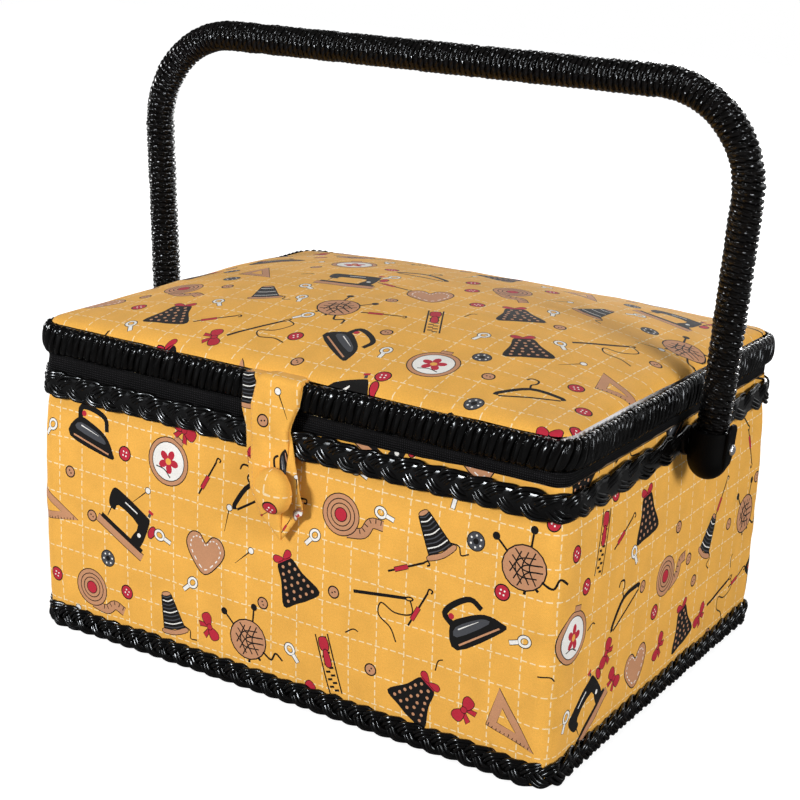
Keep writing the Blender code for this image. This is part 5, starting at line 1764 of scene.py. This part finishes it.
TAPE_SAMPLES = 420
TAPE_INSET = -0.0062
TAPE_SLACK = 0.0001
TAPE_BEVEL = 0.0004
TAPE_CLOTH = 0.0007
TAPE_HEM_DROP = 0.0003
TAPE_DROP = 0.0045
TAPE_FORWARD = 0.0012
TAPE_WAVE = 0.00025
TAPE_RIPPLE = 0.00018
FRONT_FADE_PLACE = 0.03
FRONT_FADE_LENGTH = 0.008
LEFT_FADE_PLACE = 0.050
LEFT_FADE_LENGTH = 0.035


def make_tape(material):
    """Woven tape folded over the wall's top edge; at the front left it hangs down to the plait."""
    distance = round_trip(TAPE_SAMPLES)
    outer = tape_high.x - HALF_LENGTH
    inner = TAPE_INSET
    top = tape_high.z - TAPE_SLACK
    low = tape_low.z + TAPE_SLACK
    place, _ = outline(distance)
    on_front = 1 / (1 + np.exp((place[:, 1] + HALF_DEPTH - FRONT_FADE_PLACE) / FRONT_FADE_LENGTH))
    leftward = 1 / (1 + np.exp((place[:, 0] - LEFT_FADE_PLACE) / LEFT_FADE_LENGTH))
    hang = on_front * leftward
    hem = waves(distance, 301, (0.03, 0.07, 0.013), TAPE_WAVE) - TAPE_DROP * hang
    ripple = waves(distance, 302, (0.017, 0.045), TAPE_RIPPLE)
    section = (
        (outer - 0.0005, low), (outer, low + TAPE_HEM_DROP), (outer + 0.0001, (low + top) / 2),
        (outer, top - TAPE_BEVEL), (outer - TAPE_BEVEL, top), ((outer + inner) / 2, top),
        (inner + TAPE_BEVEL, top), (inner, top - TAPE_BEVEL), (inner, low), (inner + TAPE_BEVEL, low),
        (inner + 0.0005, top - TAPE_CLOTH), (outer - TAPE_CLOTH, top - TAPE_CLOTH), (outer - 0.0006, low),
    )
    hanging = (0, 1, len(section) - 1)
    rings = []
    for index, (stand, height) in enumerate(section):
        share = float(index in hanging)
        forward = TAPE_FORWARD * hang * share
        flat, _ = outline(distance, stand + forward + ripple * (height < top - 0.001))
        rings.append(join_height(flat, height + hem * share))
    declare(solid_band("wall_top_tape", rings, material), "basket", "black_tape", "rim_tape")


HEM_SAMPLES = 700
HEM_RADIUS = 0.0006
HEM_OUT = 0.0002
HEM_SWAY = 0.00014
HEM_WAVE = 0.00022
FRAY_SPANS = ((-0.1385, -0.1130), (0.0100, 0.0560), (-0.0870, -0.0790))
FRAY_PITCH = 0.0017
FRAY_LENGTH = 0.0011
FRAY_RADIUS = 0.00016
FRAY_SHIFT = 0.0004
FRAY_ARCH = 0.0002


def make_tape_hem(material):
    """A rolled hem along the top of the tape."""
    distance = round_trip(HEM_SAMPLES)
    stand = tape_high.x - HALF_LENGTH + HEM_OUT + waves(distance, 311, (0.012, 0.029), HEM_SWAY)
    flat, outwards = outline(distance, stand)
    height = tape_high.z - HEM_RADIUS * 1.5 + waves(distance, 312, (0.023, 0.06), HEM_WAVE)
    radius = HEM_RADIUS * (1 + waves(distance, 313, (0.006, 0.017), 0.12))
    centres, direction = join_height(flat, height), join_height(outwards, 0.0)
    hem = tube("rolled_tape_hem", centres, direction, radius, radius * 1.3, 8, material, closed=True)
    declare(hem, "basket", "black_tape")


def make_fray(material):
    """Frayed cotton threads that peep out above the tape's hem."""
    rng = np.random.default_rng(88)
    share = np.linspace(-0.5, 0.5, 4)
    y = -HALF_DEPTH - (tape_high.x - HALF_LENGTH) - HEM_RADIUS * 0.9 + FRAY_ARCH * share**2
    threads = []
    for low, high in FRAY_SPANS:
        for x in np.arange(low, high, FRAY_PITCH):
            lean = rng.uniform(-0.5, 0.5)
            length = FRAY_LENGTH * rng.uniform(0.5, 1.2)
            across = x + rng.uniform(-FRAY_SHIFT, FRAY_SHIFT) + share * length * math.cos(lean)
            points = join_axes(across, y, tape_high.z - HEM_RADIUS * 0.5 + share * length * math.sin(lean))
            name = f"fray_{len(threads)}"
            threads.append(tube(name, points, (0.0, -1.0, 0.0), FRAY_RADIUS, FRAY_RADIUS, 6, material))
    declare(join_items("frayed_threads", threads), "basket", "printed_cotton")


HINGE_STATIONS = 70
HINGE_SIDES = 64
HINGE_POWER = 7.0
HINGE_RIPPLE = 0.00012
HINGE_CURL = 0.0003
HINGE_BEND = 0.003


def make_hinges(material):
    """Webbing hinges between the wall and the lid at the back, with a slight curl at the fold."""
    for label in ("left", "right"):
        low, tape_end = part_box("hinge_tape_" + label)
        flap_start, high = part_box("hinge_flap_" + label)
        fold = (tape_end.z + flap_start.z) / 2
        half = [(end - start) / 2 for start, end in zip(low, high)]
        wide, deep = rim_section(full_turn(HINGE_SIDES), half[0], half[1], HINGE_POWER)
        middle_x, middle_y, _ = ((start + end) / 2 for start, end in zip(low, high))
        rings = []
        for height in np.linspace(low.z, high.z, HINGE_STATIONS):
            ripple = waves(wide + height, 401, (0.011, 0.017), HINGE_RIPPLE)
            curl = HINGE_CURL * math.exp(-(((height - fold) / HINGE_BEND) ** 2))
            rings.append(join_axes(middle_x + wide, middle_y + deep + np.abs(ripple) + curl, height))
        web = solid_loft("webbing_hinge_" + label, rings, material)
        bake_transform(web)
        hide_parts("hinge_tape_" + label, "hinge_flap_" + label)


STITCH_LENGTH = 0.0021
STITCH_PITCH = 0.0030
STITCH_RADIUS = 0.00028
SEAM_INSET = 0.0028


def make_stitches(start, end, y, material):
    """Short raised stitches in a row from start to end on the face at y."""
    run = end - start
    length = np.linalg.norm(run)
    reach = np.linspace(-0.5, 0.5, 7)
    lift = STITCH_RADIUS * (0.2 + np.cos(math.pi * reach))
    radius = STITCH_RADIUS * np.sqrt(1.02 - 4 * reach**2)
    stitches = []
    for place in np.arange(STITCH_PITCH / 2, length, STITCH_PITCH):
        flat = start + (place + reach * STITCH_LENGTH)[:, None] * run / length
        centres = join_axes(flat[:, 0], y + lift, flat[:, 1])
        stitches.append(tube("stitch", centres, (0.0, 1.0, 0.0), radius, radius, 6, material))
    return stitches


def make_hinge_seams(material):
    """Raised thread stitches round each leaf of the webbing hinges."""
    for label in ("left", "right"):
        for node, body in (("hinge_tape_" + label, "basket"), ("hinge_flap_" + label, "lid")):
            low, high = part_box(node)
            inner = (low.x + SEAM_INSET, low.z + SEAM_INSET, high.x - SEAM_INSET, high.z - SEAM_INSET)
            corners = np.array(inner)[[[0, 1], [2, 1], [2, 3], [0, 3]]]
            stitches = []
            for start, end in zip(corners, np.roll(corners, -1, 0)):
                stitches += make_stitches(start, end, high.y, material)
            declare(join_items("stitching_" + node, stitches), body, "black_tape")


UNDERLAY_SAMPLES = 400
UNDERLAY_SIDE_RISE = 0.0026
UNDERLAY_WAVE = 0.00012
UNDERLAY_RIGHT_INSET = 0.004
UNDERLAY_RIGHT_FADE = 0.003
UNDERLAY_SHOW_PLACE = 0.070
UNDERLAY_SHOW_REACH = 0.040


def make_underlay(material):
    """The pale layer below the printed lid cloth; it shows as a sliver at the right side."""
    low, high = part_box("lid_underlay")
    distance = round_trip(UNDERLAY_SAMPLES)
    flat, _ = outline(distance)
    right = np.clip((flat[:, 0] - HALF_LENGTH + UNDERLAY_RIGHT_INSET) / UNDERLAY_RIGHT_FADE, 0, 1)
    show = right * np.exp(-(((flat[:, 1] + UNDERLAY_SHOW_PLACE) / UNDERLAY_SHOW_REACH) ** 2))
    rim_top = rim_high.z
    inner = high.x - HALF_LENGTH
    section = (
        (inner, low.z), (inner, high.z), (inner, rim_top - 0.0030), (inner - 0.0006, rim_top - 0.0024),
        (inner - 0.0026, rim_top - 0.0020), (inner - 0.0045, rim_top - 0.0020), (inner - 0.0049, high.z),
        (inner - 0.0049, low.z),
    )
    rings = []
    for index, (stand, height) in enumerate(section):
        rise = show * UNDERLAY_SIDE_RISE * (index in (2, 3, 4, 5))
        wave = waves(distance, 501 + index, (0.021, 0.008), UNDERLAY_WAVE) * (index in (3, 4, 5))
        points, _ = outline(distance, stand)
        rings.append(join_height(points, height + rise + wave))
    declare(solid_band("pale_underlay", rings, material), "lid", "white_felt", "lid_underlay")


HOOP_SAMPLES = 420
HOOP_SLACK = 0.0007
HOOP_THICKNESS = 0.0018
HOOP_BEVEL = 0.0004
HOOP_WAVE = 0.0001


def make_hoop(material):
    """The flat board hoop inside the wound rim, with the rim's own rounder corners."""
    low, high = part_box("lid_rim_hoop")
    distance = round_trip(HOOP_SAMPLES, LID_ROUNDING)
    outer = high.x - HALF_LENGTH - HOOP_SLACK
    inner = outer - HOOP_THICKNESS
    bottom = low.z + HOOP_SLACK
    top = high.z - HOOP_SLACK
    section = (
        (inner, bottom), (outer - HOOP_BEVEL, bottom), (outer, bottom + HOOP_BEVEL),
        (outer, top - HOOP_BEVEL), (outer - HOOP_BEVEL, top), (inner, top),
    )
    wave = waves(distance, 451, (0.05, 0.09), HOOP_WAVE)
    rings = []
    for stand, height in section:
        flat, _ = outline(distance, stand + wave, LID_ROUNDING)
        rings.append(join_height(flat, height))
    declare(solid_band("bent_hoop", rings, material), "lid", "fibreboard", "lid_rim_hoop")


# Padding and linings


def pad_piece(name, box, radius, spacing, fullness, material, hanging=False):
    """A closed pad that fills a box: a flat skin and a shaped one that meet round its edge.

    fullness(x, y, inset) is the share of the box's height, and hanging turns the shaped skin downwards.
    """
    low, high = box
    size = high - low
    centre = (high + low) / 2
    lines = [np.linspace(-side / 2, side / 2, max(3, round(side / spacing) + 1)) for side in size[:2]]
    x, y = np.meshgrid(*lines, indexing="ij")
    near_x = size.x / 2 - radius
    near_y = size.y / 2 - radius
    over_x = np.abs(x) - near_x
    over_y = np.abs(y) - near_y
    reach = np.hypot(np.maximum(over_x, 0), np.maximum(over_y, 0))
    pull = np.minimum(1, radius / np.maximum(reach, 1e-9))
    x = np.where(over_x > 0, np.sign(x) * (near_x + over_x * pull), x)
    y = np.where(over_y > 0, np.sign(y) * (near_y + over_y * pull), y)
    inset = radius - np.minimum(reach, radius) - np.minimum(np.maximum(over_x, over_y), 0)
    share = fullness(x, y, inset) * (inset > MERGE_GAP)
    flat_z, away = (high.z, -1) if hanging else (low.z, 1)
    skins = [join_axes(x + centre.x, y + centre.y, flat_z + away * size.z * part) for part in (share, 0.0)]
    faces = grid_faces(*x.shape) + [face[::-1] for face in grid_faces(*x.shape, start=x.size)]
    item = make_mesh(name, np.concatenate(skins).reshape(-1, 3), faces, [material])
    merge_and_shade(item)
    return item


def rolled(inset, width):
    """Share of the full height near a rolled edge."""
    near = 1 - np.clip(inset / width, 0, 1)
    return np.sqrt(1 - near**2)


QUILT_PITCH = 0.036
FLOOR_PAD_EDGE = 0.004
FLOOR_PAD_GRID = 0.0018


def make_floor_pad(material):
    """Quilted pad on the basket's floor, sewn in diamonds."""

    def fullness(x, y, inset):
        first = np.abs(np.sin(math.pi * (x + y) / QUILT_PITCH))
        second = np.abs(np.sin(math.pi * (x - y) / QUILT_PITCH))
        puff = np.sqrt(np.clip(first * second, 0, 1))
        ripple = waves(x + 0.4 * y, 601, (0.011, 0.017), 0.03)
        return rolled(inset, FLOOR_PAD_EDGE) * (0.50 + 0.46 * puff + ripple)

    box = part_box("floor_pad")
    pad = pad_piece("quilted_floor_pad", box, FLOOR_PAD_EDGE, FLOOR_PAD_GRID, fullness, material)
    declare(pad, "basket", "lining_cloth", "floor_pad")


LINING_CORNER = 0.006
LINING_GRID = 0.0016
LINING_EDGE = 0.0028
PIPING_INSET = 0.0055
PIPING_WIDTH = 0.0008


def make_lid_lining(material):
    """Thin padded lining under the lid, with a rolled edge and soft ripples."""

    def fullness(x, y, inset):
        groove = 0.35 * np.exp(-(((inset - PIPING_INSET) / PIPING_WIDTH) ** 2))
        ripple = 0.05 + waves(x + 0.7 * y, 611, (0.023, 0.041), 0.05)
        return rolled(inset, LINING_EDGE) * (1 - groove - np.clip(ripple, 0, 1))

    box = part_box("lid_lining")
    lining = pad_piece("padded_lid_lining", box, LINING_CORNER, LINING_GRID, fullness, material, hanging=True)
    declare(lining, "lid", "lining_cloth", "lid_lining")


BASE_CLOTH_GRID = 0.004


def make_base_cloth(material):
    """Black cloth stretched under the base, with faint wrinkles."""
    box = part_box("base_cloth")

    def fullness(x, y, inset):
        return 0.86 + waves(x - 0.3 * y, 621, (0.031, 0.052), 0.10)

    cloth = pad_piece("base_sheet", box, LINING_CORNER, BASE_CLOTH_GRID, fullness, material, hanging=True)
    declare(cloth, "basket", "black_tape", "base_cloth")


WALL_LINING_SAMPLES = 640
WALL_LINING_ROWS = 30
LINING_THICKNESS = 0.0008
LINING_LIFT = 0.00030
PUCKER = 0.00022
PUCKER_REACH = 0.012
LINING_RIPPLE = 0.00016


def make_wall_lining(material):
    """Plain cloth stretched over the inside of the wall, a little puckered along its top."""
    low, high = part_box("wall_lining")
    distance = round_trip(WALL_LINING_SAMPLES)
    outer = high.x - HALF_LENGTH
    inner = outer - LINING_THICKNESS
    heights = np.linspace(low.z, high.z, WALL_LINING_ROWS)
    flat, _ = outline(distance, outer)
    rings = [join_height(flat, height) for height in heights[[0, WALL_LINING_ROWS // 2, -1]]]
    for height in heights[::-1]:
        near_top = np.exp(-(high.z - height) / PUCKER_REACH)
        pucker = waves(distance, 631, (0.0071, 0.0113, 0.0047), PUCKER) * near_top
        ripple = waves(distance + 0.25 * height, 633, (0.037, 0.061), LINING_RIPPLE)
        flat, _ = outline(distance, inner + LINING_LIFT + pucker + ripple)
        rings.append(join_height(flat, height))
    lining = solid_band("wall_lining_cloth", rings, material)
    declare(lining, "basket", "lining_cloth", "wall_lining")


POCKET_GRID = (240, 60)
GATHER_PITCH = 0.0065
GATHER_REACH = 0.030
GATHER_FADE = 0.008
POCKET_CLOTH = 0.0005
ELASTIC_STATIONS = 260
ELASTIC_SIDES = 28
ELASTIC_POWER = 6.0
ELASTIC_SLACK_WIDE = 0.0003
ELASTIC_SLACK_THICK = 0.00028
RUCHE_PITCH = 0.0021
RUCHE_HEIGHT = 0.00022
RUCHE_SHARE = 0.03


def make_elastic(material):
    """A ruched elastic band along the pocket's open edge."""
    low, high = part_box("pocket_elastic")
    half = (high - low) / 2
    _, middle_y, middle_z = ((start + end) / 2 for start, end in zip(low, high))
    slack_half = (half.y - ELASTIC_SLACK_WIDE, half.z - ELASTIC_SLACK_THICK)
    wide, thick = rim_section(full_turn(ELASTIC_SIDES), *slack_half, ELASTIC_POWER)
    rings = []
    for place in np.linspace(low.x, high.x, ELASTIC_STATIONS):
        ruche = RUCHE_HEIGHT * math.sin(math.tau * place / RUCHE_PITCH)
        width = 1 + RUCHE_SHARE * math.sin(math.tau * place / (2 * RUCHE_PITCH))
        rings.append(join_axes(place, middle_y + wide * width, middle_z + thick + ruche))
    return solid_loft("ruched_elastic", rings, material)


def make_pocket(cloth, elastic_cloth):
    """A pocket under the lid, gathered along its open front edge by a ruched elastic band."""
    low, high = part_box("lid_pocket")
    lines = [np.linspace(low[axis], high[axis], POCKET_GRID[axis]) for axis in (0, 1)]
    x, y = np.meshgrid(*lines, indexing="ij")
    gather = 0.25 + 0.75 * np.exp(-(y - low.y) / GATHER_REACH)
    side = np.clip(np.minimum(x - low.x, high.x - x) / GATHER_FADE, 0, 1)
    back = np.clip((high.y - y) / GATHER_FADE, 0, 1)
    phase = math.tau * x / GATHER_PITCH + waves(x, 641, (0.03, 0.07), 1.2) + waves(y, 642, (0.05, 0.09), 0.8)
    swing = (high.z - low.z - POCKET_CLOTH) / 2
    z = (high.z + low.z) / 2 + POCKET_CLOTH / 2 + swing * (gather * np.sin(phase) * side * back * 0.92)
    z = z + (1 - np.minimum(side, back)) * swing * 0.9
    points = join_axes(x, y, z).reshape(-1, 3)
    pocket = make_mesh("gathered_pocket", points, grid_faces(*POCKET_GRID), [cloth])
    thickened(pocket, POCKET_CLOTH)
    outward_faces(pocket)
    elastic = make_elastic(elastic_cloth)
    declare(pocket, "lid", "lining_cloth", "lid_pocket")
    declare(elastic, "lid", "black_tape", "pocket_elastic")


def get_points(item):
    points = np.zeros(len(item.data.vertices) * 3)
    item.data.vertices.foreach_get("co", points)
    return points.reshape(-1, 3)


INFLATE_FRAMES = 20
INFLATE_PRESSURE = 4.0
INFLATE_VOXEL = 0.0025
INFLATE_CAP = 0.004


def inflated(item):
    """Swell a closed piece with the cloth solver, and keep every point within a cap of its start."""
    remesh = item.modifiers.new("remesh", "REMESH")
    remesh.mode = "VOXEL"
    remesh.voxel_size = INFLATE_VOXEL
    apply_modifiers(item)
    start = get_points(item)
    cloth = item.modifiers.new("cloth", "CLOTH")
    cloth.settings.use_pressure = True
    cloth.settings.uniform_pressure_force = INFLATE_PRESSURE
    cloth.settings.effector_weights.gravity = 0
    cloth.point_cache.frame_end = INFLATE_FRAMES
    for step in range(INFLATE_FRAMES):
        bpy.context.scene.frame_set(step + 1)
    apply_modifiers(item)
    bpy.context.scene.frame_set(1)
    moved = get_points(item) - start
    length = np.linalg.norm(moved, axis=1, keepdims=True)
    places = start + moved * np.minimum(1, INFLATE_CAP / np.maximum(length, 1e-9))
    item.data.vertices.foreach_set("co", places.ravel())
    finer = item.modifiers.new("finer", "SUBSURF")
    finer.levels = 1
    apply_modifiers(item)


PINCUSHION_SIDES = 72
PINCUSHION_STEPS = 16
PINCUSHION_START_SHARE = 0.90
PINCUSHION_POWER = 0.55
DIMPLE_DEPTH = 0.0030
DIMPLE_REACH = 0.004
CUSHION_SEAM_DEPTH = 0.0011


def make_pincushion(material):
    """A stuffed round pad under the lid, drawn in at its middle by a stitch."""
    low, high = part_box("pincushion")
    centre = (low + high) / 2
    radius = (high.x - low.x) / 2
    depth = high.z - low.z
    angle = full_turn(PINCUSHION_SIDES)
    rings = []
    for step in range(1, PINCUSHION_STEPS):
        turn = math.pi * step / PINCUSHION_STEPS
        reach = radius * PINCUSHION_START_SHARE * math.sin(turn) ** PINCUSHION_POWER
        height = centre.z + depth / 2 * PINCUSHION_START_SHARE * math.cos(turn)
        rings.append(join_axes(centre.x + reach * np.cos(angle), centre.y + reach * np.sin(angle), height))
    pad = solid_loft("stuffed_pincushion", rings, material)
    inflated(pad)
    x, y, z = get_points(pad).T - np.array(centre)[:, None]
    away = np.hypot(x, y)
    dimple = DIMPLE_DEPTH * np.exp(-((away / DIMPLE_REACH) ** 2))
    seams = CUSHION_SEAM_DEPTH * np.abs(np.cos(4 * np.arctan2(y, x))) ** 14
    seams = seams * np.clip(away / radius, 0, 1) ** 0.7
    below = np.clip((depth / 4 - z) / (depth / 2), 0, 1)
    keep = np.minimum(1, radius / np.maximum(away, 1e-9))
    z = np.clip(z + (dimple + seams) * below, -depth / 2, depth / 2)
    places = join_axes(x * keep, y * keep, z) + np.array(centre)
    pad.data.vertices.foreach_set("co", places.ravel())
    pad.data.shade_smooth()
    declare(pad, "lid", "printed_cotton", "pincushion")


LEDGE_SIDES = 32
LEDGE_ROWS = 90
LEDGE_END_STEPS = (0, 0.0004, 0.0012, 0.0025)
LEDGE_END = 0.005
LEDGE_SHRINK_SHARE = 0.22
LEDGE_SLACK = 0.00015
LEDGE_RIPPLE = 0.00012
LEDGE_POWER = 6.0


def make_ledges(material):
    """Cloth wrapped battens that carry the tray, folded in at their ends."""
    for label in ("front", "back"):
        low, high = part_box("tray_ledge_" + label)
        half = (high - low) / 2
        centre = (high + low) / 2
        length = 2 * half.x
        ends = np.array(LEDGE_END_STEPS)
        middle = np.linspace(LEDGE_END, length - LEDGE_END, LEDGE_ROWS)
        along = np.concatenate([ends, middle, length - ends[::-1]])
        angle = full_turn(LEDGE_SIDES)
        rings = []
        for place in along:
            folded = 1 - min(1, min(place, length - place) / ends[-1])
            shrink = 1 - LEDGE_SHRINK_SHARE * folded**2
            across = (half.y * shrink - LEDGE_SLACK, half.z * shrink - LEDGE_SLACK)
            wide, tall = rim_section(angle, *across, LEDGE_POWER)
            grow = 1 + waves(place + 0.002 * angle, 651, (0.009, 0.023), LEDGE_RIPPLE) / half.y
            rings.append(join_axes(low.x + place, centre.y + wide * grow, centre.z + tall * grow))
        ledge = solid_loft("wrapped_ledge_" + label, rings, material)
        declare(ledge, "basket", "lining_cloth", "tray_ledge_" + label)


def paint_nodes(finishes):
    """Give the CAD nodes that stay in sight their materials."""
    for material, names in finishes:
        for name in names:
            for slot in frame["nodes"][name].material_slots:
                slot.material = material


bpy.context.scene.view_settings.view_transform = "Standard"
make_camera()
make_floor()
make_world()
make_lights()
cottons = [cotton(ink) for ink in INKS]
wound_cord = cane("wound_cord", -75.0, 3.0, 0.00022, 0.3, 0.08, 0.32, 1.4)
flat_cane = cane("flat_cane", -28.0, 3.0, 0.00017, 0.6, 0.12, 0.31, 0.6)
plait_cane = cane("plait_cane", 30.0, 2.0, 0.00001, 0.6, 0.14, 0.40, 0.5)
tape = tape_cloth()
plastic = moulded_plastic("moulded_plastic", (0.0008, 0.0007, 0.0007), (0.0020, 0.0017, 0.0016), 0.46)
rubber = moulded_plastic("dark_rubber", (0.006, 0.0045, 0.004), (0.020, 0.015, 0.013), 0.6)
steel = bright_steel()
board = fibreboard("fibreboard", (0.22, 0.145, 0.085), (0.46, 0.33, 0.21))
# A near-black board for the hoop inside the wound rim, the lid's board and the handle's core.
dark_board = fibreboard("near_black_board", (0.0015, 0.0012, 0.001), (0.005, 0.004, 0.0035))
lining = lining_cloth("lining_weave")
make_body_cover(cottons)
make_lid_cover(cottons)
make_rim(flat_cane)
make_plait("top_plait", "top_braid", 0.0008, plait_cane, 50, 0.0355, stretch=0.9)
make_plait("foot_plait", "base_braid", 0.0010, plait_cane, 90, 0.0275, tuck=FOOT_TUCK)
make_handle(wound_cord)
make_strap(cottons)
make_button(cottons)
make_sleeve(-1, "left", plastic)
make_sleeve(1, "right", plastic)
make_tape(tape)
make_tape_hem(tape)
make_fray(felt("frayed_cotton", (0.52, 0.36, 0.13), (0.86, 0.68, 0.34)))
make_hinges(webbing())
make_hinge_seams(cane("waxed_thread", 400.0, 2.0))
make_underlay(felt("pale_felt", (0.86, 0.87, 0.90), (0.97, 0.98, 1.0)))
make_floor_pad(lining)
make_lid_lining(lining)
make_wall_lining(lining_cloth("upright_lining_weave", upright=True))
make_pocket(lining, tape)
make_pincushion(dotted_cloth())
make_ledges(lining)
make_base_cloth(tape)
make_hoop(dark_board)
paint_nodes(
    (
        (rubber, ("rivet_spacer_left", "rivet_spacer_right")),
        (steel, ("rivet_left", "rivet_right", "rivet_washer_left", "rivet_washer_right")),
        (steel, ("strap_magnet", "clasp_plate")),
        (board, ("wall_board", "base_board")),
        (dark_board, ("lid_board", "handle_core")),
        (clear_plastic(), ("accessory_tray",)),
    )
)
